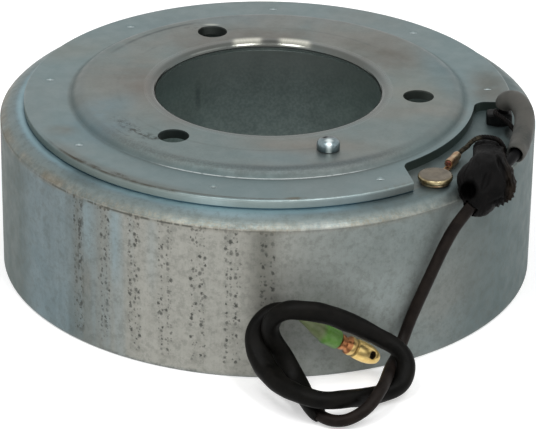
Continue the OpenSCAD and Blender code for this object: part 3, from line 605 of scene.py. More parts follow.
def plate_material():
    """Zinc on the stamped plate, with its stains, smears and punched marks, and painted light and shade on
    its edges, slope, lip and walls.
    """
    p = Paint("plate_zinc", Metallic=0.88)
    angle, across = p.round_axis()
    z, arc = p.z, partial(p.window, angle)
    zinc_base(p, (109, 122, 121), (119, 121, 116), (124, 129, 125), 32, 1900)
    p.lay((114, 133, 136), (across, 41.0, 42.4), (z, 36.0, 36.6), 0.58)
    cloud = p.span(p.noise(75, 4.0, 0.65), 0.34, 0.60, 0.35, 1.0)
    for tone, share, *oval in STAINS:
        p.lay(tone, p.spot(*oval), cloud, share)

    # Scratched smears beside two of the holes, and the faint rings of the press tool
    streak = p.noise(1.0, 5.0, 0.75, p.combined(p.product(angle, 0.35), p.product(across, 1.2)))
    p.lay((50, 52, 48), arc(-66, -54, -44, -39), p.bell(across, 35.2, 2.2), (streak, 0.48, 0.56), 0.85)
    p.lay((62, 66, 62), arc(-60, -52, -40, -34), p.bell(across, 38.0, 0.9), (streak, 0.46, 0.60), 0.45)
    p.lay((70, 72, 68), p.spot((-16.4, 31.5), (4.5, 2.6), 20), (streak, 0.52, 0.60), 0.6)
    p.lay((40, 42, 40), p.spot((-22.6, -26.4), (1.6, 1.2)), (p.noise(1400, 3.0, 0.7), 0.40, 0.55))
    p.lay((58, 66, 66), p.bell(across, 37.4, 0.7), (p.noise(60, 3.0, 0.6), 0.30, 0.55),
          arc(-160, -148, -126, -112), 0.65)
    p.lay((70, 78, 76), p.bell(across, 31.5, 0.6), (p.noise(45, 3.0, 0.6), 0.40, 0.60), 0.25)

    # The slope of the raised centre: speckled in front, in painted shade that is darkest in front and at its
    # foot, with a thin painted highlight along its foot in front
    slope = p.product(p.bell(across, 39.6, 1.9), (z, 36.8, 37.1))
    p.lay((84, 84, 80), slope, (p.noise(2300, 2.0, 0.6), 0.42, 0.58), arc(-62, -45, 34, 52), 0.5)
    # Painted shade on the slope, darkest in front, and at its foot
    p.lay((96, 104, 104), slope, 0.35)
    p.lay((74, 84, 88), slope, arc(-24, 0, 26, 44), 0.45)
    p.lay((84, 98, 100), p.bell(across, 41.2, 1.1), 0.5)
    # Painted highlight along the foot, in front
    p.lay((206, 212, 212), p.bell(across, 41.4, 0.22), arc(-36, -24, 20, 34),
          (p.noise(900, 2.0, 0.5), 0.30, 0.50, 0.4, 0.85))

    # The rim: brown and dark on the left, a thin dark thread, and a painted highlight on its rounded edge in
    # front
    on_flange = p.span(z, 36.2, 36.5)
    near_flange = p.span(z, 36.0, 36.4)
    edge_top = p.product(p.bell(across, 50.5, 1.1), near_flange)
    left_rim = arc(-66, -52, -26, -8)
    blot = p.noise(0.42, 5.0, 0.7, p.combined(angle, p.product(across, 0.7)))
    p.lay((96, 90, 78), p.bell(across, 49.9, 2.4), left_rim, on_flange, 0.40)
    p.lay((58, 52, 40), p.bell(across, 50.6, 0.5), left_rim, near_flange,
          (p.noise(150, 4.0, 0.7), 0.34, 0.62, 0.25, 0.9))
    p.lay((72, 68, 58), p.bell(across, 50.15, 0.35), arc(-32, -22, -2, 10), on_flange,
          (blot, 0.34, 0.58, 0.3, 1.0), 0.75)
    crumbs = p.span(p.noise(1100, 4.0, 0.75), 0.34, 0.58, 0.2, 1.0)
    for share, *oval in RIM_STAINS:
        p.lay((52, 46, 34), p.spot(*oval), crumbs, share)
    p.lay((100, 98, 88), edge_top, arc(20, 30, 46, 50), (blot, 0.35, 0.60), 0.45)
    p.lay((92, 86, 70), p.spot((5.6, -49.8), (3.2, 0.9), 6), (blot, 0.30, 0.5), 0.8)
    # Painted highlight along the rim's rounded edge in front
    p.lay((150, 158, 156), p.bell(across, 50.75, 0.35), on_flange, (blot, 0.5, 0.62, 0.2, 1.0),
          arc(-4, 6, 20, 28), 0.5)
    p.lay((92, 98, 96), edge_top, arc(-22, -12, -2, 8), 0.35)

    # The edge face in blue, lighter and darker round the plate as painted light and shade; its underside
    # lightened against its shadow as painted light, and the walls of the cutout in painted shade
    face = p.product((across, 50.6, 50.95), (z, 36.7, 36.3))
    face_tone = p.graded(
        (76, 92, 90), ((angle, -66, -34), (130, 141, 137)), ((angle, -34, -16), (147, 159, 157)),
        (p.bell(angle, -12, 8), (168, 183, 183)), ((angle, -2, 20), (128, 142, 144)),
        ((angle, 18, 32), (94, 102, 101)), ((angle, 110, 150), (76, 92, 90)))
    p.lay(face_tone, face, 0.85)
    # Painted light on the underside, against its shadow
    p.lay((116, 156, 172), (z, 35.15, 34.95), (across, 50.2, 50.5), 0.8)
    # Painted shade on the walls of the cutout
    p.lay((48, 60, 54), (z, 36.75, 36.55), p.window(across, 42.5, 42.8, 50.4, 50.7), 0.8)

    # Punched marks with painted glints, laid along the line of sight; one mark's glint is dimmer
    mark_size = (1.3, 1.3)
    dull = p.span(p.spot(DULL_MIDDLE, mark_size), 0, 0.15)
    depth = p.product(p.math("SUBTRACT", z, FLANGE_Z), GLINT_SIGHT_SLOPE)
    slanted = p.combined(p.x, p.math("ADD", p.y, depth))
    for i in range(MARK_COUNT):
        a = math.radians(MARK_FIRST + i * MARK_STEP)
        middle = (MARK_RADIUS * math.cos(a), MARK_RADIUS * math.sin(a))
        # Painted glint on each mark
        lit = p.spot((middle[0], middle[1] - 0.2), (1.15, 0.42), 0, slanted)
        p.lay((150, 160, 160) if i == DULL_MARK else (180, 190, 192), (lit, 0.1, 0.5, 0, 0.8))
        if i != DULL_MARK:
            dull = p.math("MAXIMUM", dull, p.span(p.spot(middle, mark_size), 0, 0.15))

    # The lip of the bore in painted shade, with a painted dark reflection between painted glints at its back;
    # a painted highlight at the back of a hole's rim, painted light on the plate's bore wall, and painted
    # shade on the walls of the holes
    # Painted shade on the lip, all round
    p.lay((84, 86, 83), p.bell(across, 24.2, 2.1), (z, 36.6, 37.2), 0.7)
    lip_back = p.product(p.bell(across, 25.0, 1.9), (z, 37.4, 37.9), (p.y, 18, 21))
    lip_glints = p.either(p.bell(p.x, -4.7, 4.2), p.bell(p.x, 5.6, 4.6))
    # Painted dark reflection between the glints, and painted glints at the back
    p.lay((70, 72, 68), lip_back, p.bell(p.x, 0.5, 2.4), 0.6)
    p.lay((206, 205, 192), lip_back, (lip_glints, 0.0, 0.45),
          (p.noise(1.6, 3.0, 0.6, p.combined(angle)), 0.32, 0.62, 0.78, 1.0))
    # Painted highlight at the back of a hole's rim
    p.lay((176, 180, 170), p.spot((-12.6, 32.9), (2.4, 0.7)), (z, 37.8, 38.2), 0.8)
    # Painted light on the plate's bore wall, against its shadow
    p.lay((166, 178, 174), (across, 24.4, 24.1), (z, 37.4, 37.0), 0.9)
    # Painted shade on the walls of the holes
    p.lay((46, 54, 50), (z, 38.35, 37.9), p.window(across, 26.2, 26.8, 35, 36), 0.7)

    rougher = p.either(p.product(dull, 0.35), p.bell(across, 40.9, 1.3), p.product(face, 0.8))
    even = p.product((p.noise(240, 3.0, 0.6), 0.3, 0.7, 0.38, 0.52), (across, 26.3, 25.5, 1, 0.42))
    return p.finish(p.math("ADD", even, p.product(rougher, 0.22)), zinc_relief(p))


def plain_metal(name, tones, grain, roughness, metallic=0.95, strength=0.10):
    """Metal of two tones in soft patches."""
    p = Paint(name, Metallic=metallic)
    p.color = p.mix((p.noise(grain, 4.0, 0.6), 0.35, 0.65), *tones)
    fine = p.noise(grain * 3, 3.0, 0.6)
    return p.finish((fine, 0.3, 0.7, roughness - 0.06, roughness + 0.06), p.bump(fine, strength, 0.00004))


def soft_material(name, tones, grain, roughness, strength=0.25, gloss=0.5):
    """Plastic or rubber: two tones in soft patches and a third in the fine grain."""
    p = Paint(name, Specular_IOR_Level=gloss)
    broad = p.noise(grain, 4.0, 0.6)
    fine = p.noise(grain * 6, 3.0, 0.65)
    p.color = p.graded(tones[0], ((broad, 0.35, 0.68), tones[1]), ((fine, 0.55, 0.75, 0, 0.35), tones[2]))
    rough = (p.math("ADD", broad, fine), 0.8, 1.25, roughness - 0.08, roughness + 0.08)
    return p.finish(rough, p.bump(fine, strength, 0.00008))


def boot_material():
    """Black rubber with a soft bloom, a brown worn edge, and painted shade in its mouth."""
    p = Paint("boot_rubber")
    broad = p.noise(260, 4.0, 0.6)
    fine = p.noise(1900, 3.0, 0.65)
    away = p.away_from(BOOT_MOUTH)
    p.color = p.mix((broad, 0.35, 0.68), (6, 6, 6), (13, 12, 12))
    p.lay((32, 30, 28), (fine, 0.55, 0.75, 0, 0.4))
    p.lay((38, 31, 24), (p.x, 46.6, 48.2), (broad, 0.3, 0.6, 0.3, 1.0), 0.6)
    # Painted shade in the mouth
    p.lay((0, 0, 0), (away, 2.5, 1.0))
    p.lay((26, 25, 24), p.spot((40.4, -33.0), (3.2, 5.0), -30), (broad, 0.3, 0.6, 0.4, 1.0), 0.5)
    p.put(p.shader.inputs["Specular IOR Level"], p.span(away, 1.2, 2.5, 0.01, 0.05))
    return p.finish((p.math("ADD", broad, fine), 0.8, 1.25, 0.50, 0.68), p.bump(fine, 0.35, 0.00010))


def rivet_material():
    """A flat plated head: dull and pink-beige on top, golden and bright at the rim, with painted shade at the
    rim's foot.
    """
    p = Paint("rivet_steel", Metallic=0.9)
    cloud = p.noise(330, 4.0, 0.65)
    p.color = p.mix((cloud, 0.4, 0.6), (168, 156, 122), (112, 98, 68))
    p.lay(p.mix((cloud, 0.34, 0.64), (110, 101, 86), (94, 87, 75)), (p.z, 36.30, 36.48))
    # Painted shade at the foot of the rim
    p.lay((60, 50, 34), (p.z, 35.8, 35.4), 0.7)
    return p.finish((cloud, 0.3, 0.7, 0.26, 0.44), p.bump(p.noise(1500, 3.0, 0.6), 0.12, 0.00005))


def pin_material():
    """A bright turned pin with painted highlights in front, painted shade round its lower side, and dark in
    its punched dent.
    """
    p = Paint("pin_steel", Metallic=0.95)
    x, y = PIN_MIDDLE
    cloud = p.noise(700, 3.0, 0.6)
    p.color = p.mix((cloud, 0.35, 0.65), (128, 142, 146), (98, 112, 116))
    # Painted shade round the lower side
    p.lay((66, 80, 84), (p.z, 39.6, 38.5, 0, 0.7))
    # Painted highlight down the front
    p.lay((226, 236, 236), p.bell(p.x, x + 0.1, 0.8), (p.y, y + 0.2, y - 0.8), 0.85)
    p.lay((100, 100, 98), (p.y, y - 0.3, y + 0.6), 0.6)
    p.lay((22, 26, 26), p.spot((x - 0.75, y + 0.75), (0.95, 0.8)), 0.9)
    # Painted highlight in front
    p.lay((222, 232, 232), p.spot((x + 0.1, y - 1.0), (1.3, 0.8)), 0.7)
    return p.finish((cloud, 0.3, 0.7, 0.30, 0.42), p.bump(p.noise(1200, 2.0, 0.5), 0.08, 0.00004))


def braid_material():
    """Dull twisted strands, dark but for the stretch beside the terminal."""
    p = Paint("ground_braid", Metallic=0.3, Specular_IOR_Level=0.1)
    cloud = p.noise(1500, 4.0, 0.6)
    p.color = p.mix((cloud, 0.38, 0.62), (70, 64, 52), (34, 32, 27))
    p.lay(p.mix((cloud, 0.38, 0.62), (18, 15, 13), (10, 9, 9)), (p.x, 42.2, 43.2))
    return p.finish((cloud, 0.3, 0.7, 0.45, 0.6), p.bump(cloud, 0.3, 0.00005))


def green_material():
    """A soft vinyl sleeve: clear and olive where it tapers, full green at the collar, with painted shade in
    dark teal on its lower right side.
    """
    p = Paint("green_sleeve", Specular_IOR_Level=0.35)
    share = p.along_connector()
    cloud = p.noise(500, 4.0, 0.6)
    p.color = p.mix((cloud, 0.35, 0.65), (104, 118, 77), (128, 138, 99))
    p.lay(p.mix((cloud, 0.35, 0.65), (98, 150, 60), (124, 168, 90)), (share, -0.10, 0.02))
    # Painted shade: darker teal on the lower right side
    p.lay((22, 84, 52), (p.math("ADD", p.z, p.product(p.x, 0.73)), 19.2, 17.9), 0.6)
    p.lay((30, 96, 50), p.window(share, 0.235, 0.245, 0.25, 0.262), 0.5)
    return p.finish((cloud, 0.3, 0.7, 0.30, 0.45), p.bump(p.noise(2200, 3.0, 0.6), 0.18, 0.00006))


def bullet_material():
    """Brass that is copper-tinted at the crimp, with painted shade in the groove and in the drilled tip."""
    p = Paint("bullet_brass", Metallic=0.86)
    share = p.along_connector()
    cloud = p.noise(650, 4.0, 0.6)
    fine = p.noise(2400, 3.0, 0.6)
    p.color = p.mix((cloud, 0.35, 0.65), (255, 226, 152), (238, 203, 128))
    p.lay(p.mix((cloud, 0.4, 0.6), (196, 134, 88), (164, 110, 72)), (share, 0.468, 0.455))
    p.lay((228, 194, 126), p.window(share, 0.456, 0.464, 0.526, 0.535))
    # Painted shade in the groove
    p.lay((112, 88, 46), p.window(share, 0.524, 0.532, 0.568, 0.585), 0.65)
    # Painted shade in the drilled tip
    p.lay((34, 22, 8), (p.away_from(BULLET_HOLE), 0.95, 0.75))
    return p.finish((fine, 0.3, 0.7, 0.32, 0.44), p.bump(fine, 0.10, 0.00004))


def winding_material():
    """Copper turns side by side, as ridges round the axis."""
    p = Paint("winding_copper", Metallic=0.9)
    values = {"Vector": p.place, "Scale": 420.0, "Distortion": 0.3, "Detail": 1.0}
    turns = p.add("ShaderNodeTexWave", values, bands_direction="Z").outputs["Fac"]
    p.color = p.mix(turns, (120, 58, 28), (190, 108, 56))
    return p.finish((p.noise(500, 2.0, 0.5), 0.3, 0.7, 0.28, 0.42), p.bump(turns, 0.5, 0.0002))


def resin_material():
    """Black cast resin, glossy, with low waves and a few small bubbles."""
    p = Paint("resin", Specular_IOR_Level=0.4)
    waves = p.noise(110, 3.0, 0.5)
    cell = p.add("ShaderNodeTexVoronoi", {"Vector": p.place, "Scale": 420, "Randomness": 1.0})
    bubble = p.span(cell.outputs["Distance"], 0.08, 0.16, 1, 0)
    p.color = p.mix((waves, 0.35, 0.65), (22, 24, 23), (34, 36, 35))
    p.lay((60, 62, 60), bubble, 0.6)
    height = p.math("SUBTRACT", waves, p.product(bubble, 0.3))
    return p.finish((waves, 0.3, 0.7, 0.18, 0.34), p.bump(height, 0.3, 0.0004))


MATERIALS = {
    "shell_zinc": shell_material(),
    "plate_zinc": plate_material(),
    "pin_steel": pin_material(),
    "winding_copper": winding_material(),
    "resin": resin_material(),
    "ground_braid": braid_material(),
    "rivet_steel": rivet_material(),
    "boot_rubber": boot_material(),
    "green_sleeve": green_material(),
    "bullet_brass": bullet_material(),
}
# Soft ones: three tones, grain, roughness, and for some the relief's strength and the gloss
for name, *look in (
        ("bobbin_plastic", ((222, 214, 190), (208, 198, 172), (190, 180, 152)), 150, 0.5),
        ("tape", ((214, 190, 88), (200, 172, 70), (176, 150, 58)), 200, 0.45),
        ("insulator_board", ((198, 176, 132), (184, 160, 116), (160, 138, 98)), 300, 0.8),
        ("bushing_plastic", ((8, 9, 9), (14, 16, 16), (26, 28, 27)), 400, 0.5, 0.25, 0.08),
        ("live_insulation", ((4, 4, 5), (8, 8, 9), (16, 16, 18)), 500, 0.5, 0.2, 0.06),
        ("grey_sleeve", ((78, 77, 73), (58, 60, 58), (90, 88, 82)), 130, 0.55, 0.15, 0.10),
        ("lead_insulation", ((20, 16, 14), (30, 25, 22), (46, 38, 33)), 380, 0.5, 0.3, 0.07),
        ("tube_plastic", ((6, 6, 5), (15, 14, 12), (34, 32, 27)), 330, 0.5, 0.35, 0.06)):
    MATERIALS[name] = soft_material(name, *look)
# Metal ones: two tones, grain, roughness, and for one the share of metal and the relief's strength
for name, *look in (
        ("terminal_brass", ((176, 158, 128), (150, 120, 92)), 900, 0.34),
        ("ferrule_metal", ((190, 168, 116), (160, 138, 92)), 800, 0.35),
        ("copper_strands", ((196, 128, 84), (160, 92, 56)), 1200, 0.35),
        ("cut_copper", ((128, 66, 52), (88, 46, 38)), 1500, 0.5, 0.6, 0.3)):
    MATERIALS[name] = plain_metal(name, *look)
for subpart in frame["record"]["subparts"]:
    node = nodes[subpart["node"]]
    node.data.materials.clear()
    node.data.materials.append(MATERIALS[subpart["material_slot"]])


# The lead: the same route as in the part's source
LEAD_ROUTE = MM * np.array([
    [40.5, -44, 33], [36.7, -45, 27.5], [32.7, -47.7, 19.4], [29.3, -49.4, 11.2],
    [27.6, -51.2, 6.9], [26.3, -54.7, 4.9], [24.7, -60.9, 5.3], [23, -69.4, 6],
    [20.2, -73.6, 3.9], [16.9, -75.1, 2.2], [13.9, -75.1, 1.6], [11.2, -73.7, 1.8],
    [9.3, -71, 2.6], [7.5, -66, 3.3], [5.7, -62.6, 5], [3.5, -61, 8.5],
    [1.3, -61.6, 13.1], [1.4, -62.2, 16.2], [3, -62.9, 18.5], [5.9, -63.4, 19.6],
    [10.9, -63.3, 19], [16.8, -60.2, 15.2], [22.7, -57.8, 10.6], [26.3, -58.5, 8.5],
    [27.9, -60.1, 6.4], [27.8, -62, 4.5], [26, -64, 3], [21.9, -66.4, 2.5],
    [16.7, -71.9, 4.8], [13, -73.9, 5.4], [10.1, -74.1, 5.6], [7.2, -73, 5.9],
    [3, -69.2, 6.1], [0, -65, 7], [-2, -61.7, 10.1], [-2, -59.8, 12.6],
    [-0.6, -58.5, 14.6], [1.6, -57.9, 15.9], [4.2, -58, 16.3], [7.3, -58.6, 15.8],
])
LEAD_R = 1.2 * MM
TUBE_R = 1.75 * MM
TUBE_FIRST, TUBE_LAST = 11, 38
SIDES = 24

lead_path = smooth_path(LEAD_ROUTE, 0.5 * MM)
lead_radius = LEAD_R + wobble(len(lead_path), SIDES, 0.012 * MM, 6, seed=3)
lead = solid_tube("lead_wire", lead_path, lead_radius, SIDES, MATERIALS["lead_insulation"])
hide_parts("lead")

# The tube over it: soft dents along it, and ends that were cut by hand
tube_path = smooth_path(LEAD_ROUTE, 0.4 * MM, TUBE_FIRST, TUBE_LAST)
tube_count = len(tube_path)
dents = np.clip(wobble(tube_count, SIDES, 0.07 * MM, 5, seed=4), -0.16 * MM, 0.08 * MM)
tube_outer = TUBE_R - 0.04 * MM + dents
tube_outer -= 0.12 * MM * np.exp(-from_ends(tube_count) / 1.2)[:, None]
outside = tube_parts(tube_path, tube_outer, SIDES)
inside = tube_parts(tube_path, LEAD_R + 0.1 * MM, SIDES)
heading = frames(tube_path)[0]
picture_right, picture_up = np.array(rolled_right), np.array(rolled_up)
swell = np.exp(-(((tube_path - MM * np.array([13.5, -61.5, 17])) ** 2).sum(axis=1) / (11 * MM) ** 2))
lower = -((outside - tube_path[:, None]) @ picture_up) / TUBE_R
outside += (swell[:, None] * np.clip(lower, 0, 1))[:, :, None] * -0.62 * MM * picture_up
tube_run = run_along(tube_path)


def widen(rings, route_index, reach, aim, amount):
    """Pushes out one side of the tube, beside a point of its route."""
    share_of_route = (route_index - TUBE_FIRST) / (TUBE_LAST - TUBE_FIRST)
    elsewhere = np.abs(np.arange(tube_count) / tube_count - share_of_route) >= 0.15
    nearest = np.argmin(((tube_path - LEAD_ROUTE[route_index]) ** 2).sum(axis=1) + elsewhere)
    share = np.exp(-((tube_run - tube_run[nearest]) / (reach * MM)) ** 2)
    facing = np.clip((rings - tube_path[:, None]) @ aim / TUBE_R, 0, 1)
    return rings + (share[:, None] * facing)[:, :, None] * amount * MM * aim


for route_index, reach, aim, amount in (
        (33, 7.5, picture_right, 1.55), (14, 6.0, -picture_right, 0.95), (14, 5.5, picture_right, 0.45),
        (25, 3.5, -picture_right, 0.55), (31, 4.0, picture_up, 0.3)):
    outside = widen(outside, route_index, reach, aim, amount)
torn = 0.9 * MM * np.abs(rng.standard_normal(SIDES)).clip(0, 1.6)
outside[0] += 0.12 * (outside[0] - tube_path[0]) * rng.standard_normal(SIDES)[:, None].clip(-1, 1)
for skin in (outside, inside):
    for ring in range(3):
        skin[ring] += np.outer(torn * (1 - ring / 3), heading[0])
lead_tube = hollow_tube("lead_tube_skin", outside, inside, MATERIALS["tube_plastic"])
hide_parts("lead_tube")

# The connector: a soft green sleeve with its collar, copper strands and the brass bullet
SLEEVE_ROUTE = np.array([
    [7.3, -58.6, 15.8], [8.4, -58.8, 15], [9.5, -58.8, 13.9], [10.5, -58.6, 12.7], [11.6, -58.4, 11.6],
])
connector_l = float(np.linalg.norm(CONNECTOR_END - CONNECTOR_START))
connector_aim = (CONNECTOR_END - CONNECTOR_START) / connector_l


def on_connector(distances):
    """Points of the connector's axis, from distances along it in millimetres."""
    return CONNECTOR_START + np.outer(distances, connector_aim)


# The taper's rings run on into the collar's; the collar flares a little and has a rolled mouth
COLLAR = [
    (0.0, 1.78), (0.12, 1.88), (0.35, 1.95), (0.9, 1.93), (1.8, 1.90), (2.6, 1.92), (3.1, 1.95),
    (3.35, 1.93), (3.48, 1.83), (3.5, 1.66), (3.44, 1.4), (3.1, 1.3), (2.2, 1.2), (1.2, 1.1),
]
taper = smooth_path(SLEEVE_ROUTE, 0.35)[:-1]
taper_r = np.linspace(1.36, 1.70, len(taper))
taper_r[0] = 1.30
sleeve_path = np.concatenate([taper, on_connector([d for d, r in COLLAR])])
sleeve_r = np.concatenate([taper_r, [r for d, r in COLLAR]])
sleeve_heading = np.concatenate([frames(taper)[0], np.repeat(connector_aim[None], len(COLLAR), 0)])
green = solid_tube("green_sleeve_skin", MM * sleeve_path, MM * sleeve_r, 36, MATERIALS["green_sleeve"],
                   sleeve_heading)
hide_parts("connector_sleeve")

# The crimp barrel is pressed in twice; the bullet has a ring, a groove, and a drilled tip
BULLET = [
    (3.9, 0.85), (3.9, 1.35), (4.05, 1.52), (4.8, 1.55), (5.1, 1.38), (5.5, 1.36), (5.8, 1.52),
    (6.0, 1.58), (6.08, 1.7), (6.2, 1.84), (6.5, 1.9), (7.0, 1.9), (7.2, 1.82), (7.3, 1.56),
    (7.6, 1.48), (7.74, 1.58), (7.9, 1.84), (8.3, 1.97), (9.6, 2.02), (10.6, 1.98), (11.6, 1.84),
    (12.3, 1.66), (12.9, 1.46), (13.3, 1.26), (13.56, 1.08), (connector_l, 0.92), (13.62, 0.72),
    (13.3, 0.65), (11.3, 0.64), (11.2, 0.3),
]
BULLET_SIDES = 72
TIP_RINGS = 5
bullet = []
for (d0, r0), (d1, r1) in zip(BULLET[:-1], BULLET[1:]):
    steps = 8 if 11 < d0 < d1 else 1
    bullet += [(d0 + (d1 - d0) * k / steps, r0 + (r1 - r0) * k / steps) for k in range(steps)]
bullet_d, bullet_r = np.array(bullet + [BULLET[-1]]).T
bullet_count = len(bullet_d)
bullet_rings = np.repeat(bullet_r[:, None], BULLET_SIDES, 1)
crimped = (4.9 < bullet_d) & (bullet_d < 5.7)
bullet_rings[crimped] -= 0.14 * np.maximum(0, np.cos(2 * round_angles(BULLET_SIDES))) ** 2
bullet_points = tube_parts(on_connector(bullet_d), bullet_rings, BULLET_SIDES,
                           np.repeat(connector_aim[None], bullet_count, 0))
hole_away = np.linalg.norm(bullet_points - BULLET_HOLE, axis=2)
hole_depth = 0.75 / (1 + np.exp((hole_away - 0.72) * 14))
inward = on_connector(bullet_d)[:, None, :] - bullet_points
inward /= np.linalg.norm(inward, axis=2)[:, :, None]
outer_skin = (np.arange(bullet_count) < bullet_count - TIP_RINGS)[:, None]
bullet_points += np.where(outer_skin, hole_depth, 0)[:, :, None] * inward
bullet = add_object("brass_bullet", MM * bullet_points.reshape(-1, 3),
                    capped_faces(bullet_count, BULLET_SIDES), MATERIALS["bullet_brass"])
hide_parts("bullet_terminal")

# Seven bare strands run twisted from the sleeve into the crimp
strands = twisted("bare_strands", MM * on_connector(np.arange(0.9, 6.35, 0.15)), 0.25 * MM, 6, 0.5 * MM,
                  5.0 * MM, 8, MATERIALS["copper_strands"])
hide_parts("lead_strands")


# The wires on the back wall, along the same routes as in the part's source
def level_aim(degrees):
    """A level direction, in degrees from the right towards the back."""
    return np.array([math.cos(math.radians(degrees)), math.sin(math.radians(degrees))])


BUSHING_MIDDLE = 48.6 * level_aim(-10)
RIVET_MIDDLE = 50.1 * level_aim(-48.1)
BARREL_AIM = level_aim(64)
BARREL_R = 0.95
WINDING_TOP = 28.2
GROUND_ROUTE = [
    [47, -11.4, 38.1], [49.2, -13.2, 37.1], [50.8, -15.7, 35.9], [50.8, -19.5, 35.6],
    [49.6, -23.2, 35.6], [48.6, -25.6, 35.6], [47.9, -27.4, 36.4], [47.6, -28, 38],
    [46.3, -27.9, 39.8], [44.2, -27.5, 40.2], [42.3, -27.1, 39.8], [41.1, -26.2, 38.5],
    [40.3, -25.7, 37.2], [39.4, -25.7, 36.4],
]
LIVE_ROUTE = [
    [49.4, -8.6, 39.8], [51.2, -11, 40.6], [52.3, -15, 40], [52.1, -19.5, 38.9],
    [51.4, -23.4, 38.2], [50.7, -26.6, 37.9], [49.7, -30.1, 37.7], [47.9, -33.6, 37.4],
    [45.8, -37.2, 37], [44.2, -40.4, 36.6],
]


def from_winding(offset, rise):
    """A wire's way up through the bushing to a rise above it."""
    x, y = BUSHING_MIDDLE + offset
    return [[x, y, z] for z in (WINDING_TOP, 35.8, 37.1 + rise)]


def barrel_point(distance):
    """A point of the ground terminal's barrel, at a distance from the rivet."""
    x, y = RIVET_MIDDLE + distance * BARREL_AIM
    return [x, y, SHELL_H + 0.05 + 0.25 + BARREL_R]


ground_route = MM * np.array(
    from_winding(np.array([-0.8, -0.8]), 0.6) + GROUND_ROUTE + [barrel_point(d) for d in (11.6, 10.5, 6.2)])
ground = twisted("ground_braid", smooth_path(ground_route, 0.25 * MM), 0.2 * MM, 5, 0.34 * MM, 2.6 * MM, 7,
                 MATERIALS["ground_braid"])
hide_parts("ground_wire")

live_route = MM * np.array(from_winding(np.array([0.9, 0.4]), 1.2) + LIVE_ROUTE)
live = solid_tube("live_lead", smooth_path(live_route, 0.6 * MM), 1.08 * MM, 20, MATERIALS["live_insulation"])
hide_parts("live_wire")

# The grey sleeve over it: soft dents, and a rolled mouth at both ends
GREY_SIDES = 28
grey_path = smooth_path(live_route, 0.5 * MM, 2, 9)
grey_count = len(grey_path)
mouth = np.exp(-from_ends(grey_count) / 0.6)[:, None]
grey_out = 2.08 * MM + np.clip(wobble(grey_count, GREY_SIDES, 0.05 * MM, 6, seed=11), -0.12 * MM, 0.02 * MM)
grey_out -= 0.28 * MM * mouth
grey_in = np.full((grey_count, GREY_SIDES), 1.34 * MM) + 0.26 * MM * mouth
grey = hollow_tube("grey_sleeve_skin", tube_parts(grey_path, grey_out, GREY_SIDES),
                   tube_parts(grey_path, grey_in, GREY_SIDES), MATERIALS["grey_sleeve"])
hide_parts("live_wire_sleeve")

# Ground terminal: a flat ring, a tongue and a barrel rolled round the wire
BARREL_SIDES = 32
BARREL_RINGS = 16
barrel_path = np.array([barrel_point(d) for d in np.linspace(6.45, 10.95, BARREL_RINGS)])
pressed = np.exp(-((np.linspace(0, 1, BARREL_RINGS) - 0.5) / 0.22) ** 2)
barrel_out = np.repeat((BARREL_R - 0.07 * pressed)[:, None], BARREL_SIDES, 1)
barrel_in = np.repeat((0.68 - 0.05 * pressed)[:, None], BARREL_SIDES, 1)
from_seam = np.angle(np.exp(1j * (round_angles(BARREL_SIDES) - np.pi)))
barrel_out -= 0.16 * np.exp(-(from_seam / 0.22) ** 2)[None]
barrel_out[[0, -1]] -= 0.06
barrel = hollow_tube("ground_barrel", MM * tube_parts(barrel_path, barrel_out, BARREL_SIDES),
                     MM * tube_parts(barrel_path, barrel_in, BARREL_SIDES), MATERIALS["terminal_brass"])
tongue = [(3.0, 0.9), (4.5, 0.72), (6.2, 0.66), (7.0, 0.62), (10.6, 0.6)]
tongue_rings = []
side = np.array([-BARREL_AIM[1], BARREL_AIM[0]])
TONGUE_LOW, TONGUE_TOP, TONGUE_EDGE = 34.86, 35.36, 35.3
for d, half in tongue:
    x, y = RIVET_MIDDLE + d * BARREL_AIM
    corners = ((-half, TONGUE_LOW), (half, TONGUE_LOW), (half, TONGUE_EDGE), (half - 0.08, TONGUE_TOP),
               (-half + 0.08, TONGUE_TOP), (-half, TONGUE_EDGE))
    tongue_rings.append([[x + s * side[0], y + s * side[1], z] for s, z in corners])
flat = add_object("ground_tongue", MM * np.array(tongue_rings).reshape(-1, 3), capped_faces(len(tongue), 6),
                  MATERIALS["terminal_brass"], False)
base = (*RIVET_MIDDLE, 0)
washer = lathe("ground_ring", base, [
    (1.46, 34.88), (1.46, 35.32), (1.52, 35.36), (2.98, 35.36), (3.08, 35.28), (3.1, 35.0), (3.02, 34.88)],
    64, MATERIALS["terminal_brass"], True)
for piece in (barrel, flat, washer):
    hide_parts("ground_terminal")

# The copper ends of the ground wire, cut off just past the barrel
ends = lathe_along("ground_strand_ends", barrel_point(6.75), barrel_point(6.18),
                   [(0, 0), (0.66, 0), (0.66, 0.3), (0.58, 0.48), (0.34, 0.56), (0, 0.58)], 20,
                   MATERIALS["cut_copper"])

rivet = lathe("rivet_head", base, [
    (0, 30.9), (1.3, 30.9), (1.4, 31.0), (1.4, 35.42), (3.2, 35.42), (3.4, 35.48), (3.5, 35.66), (3.5, 36.0),
    (3.46, 36.2), (3.34, 36.38), (3.1, 36.48), (2.6, 36.5), (1.4, 36.47), (0, 36.45)],
    72, MATERIALS["rivet_steel"])
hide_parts("ground_rivet")

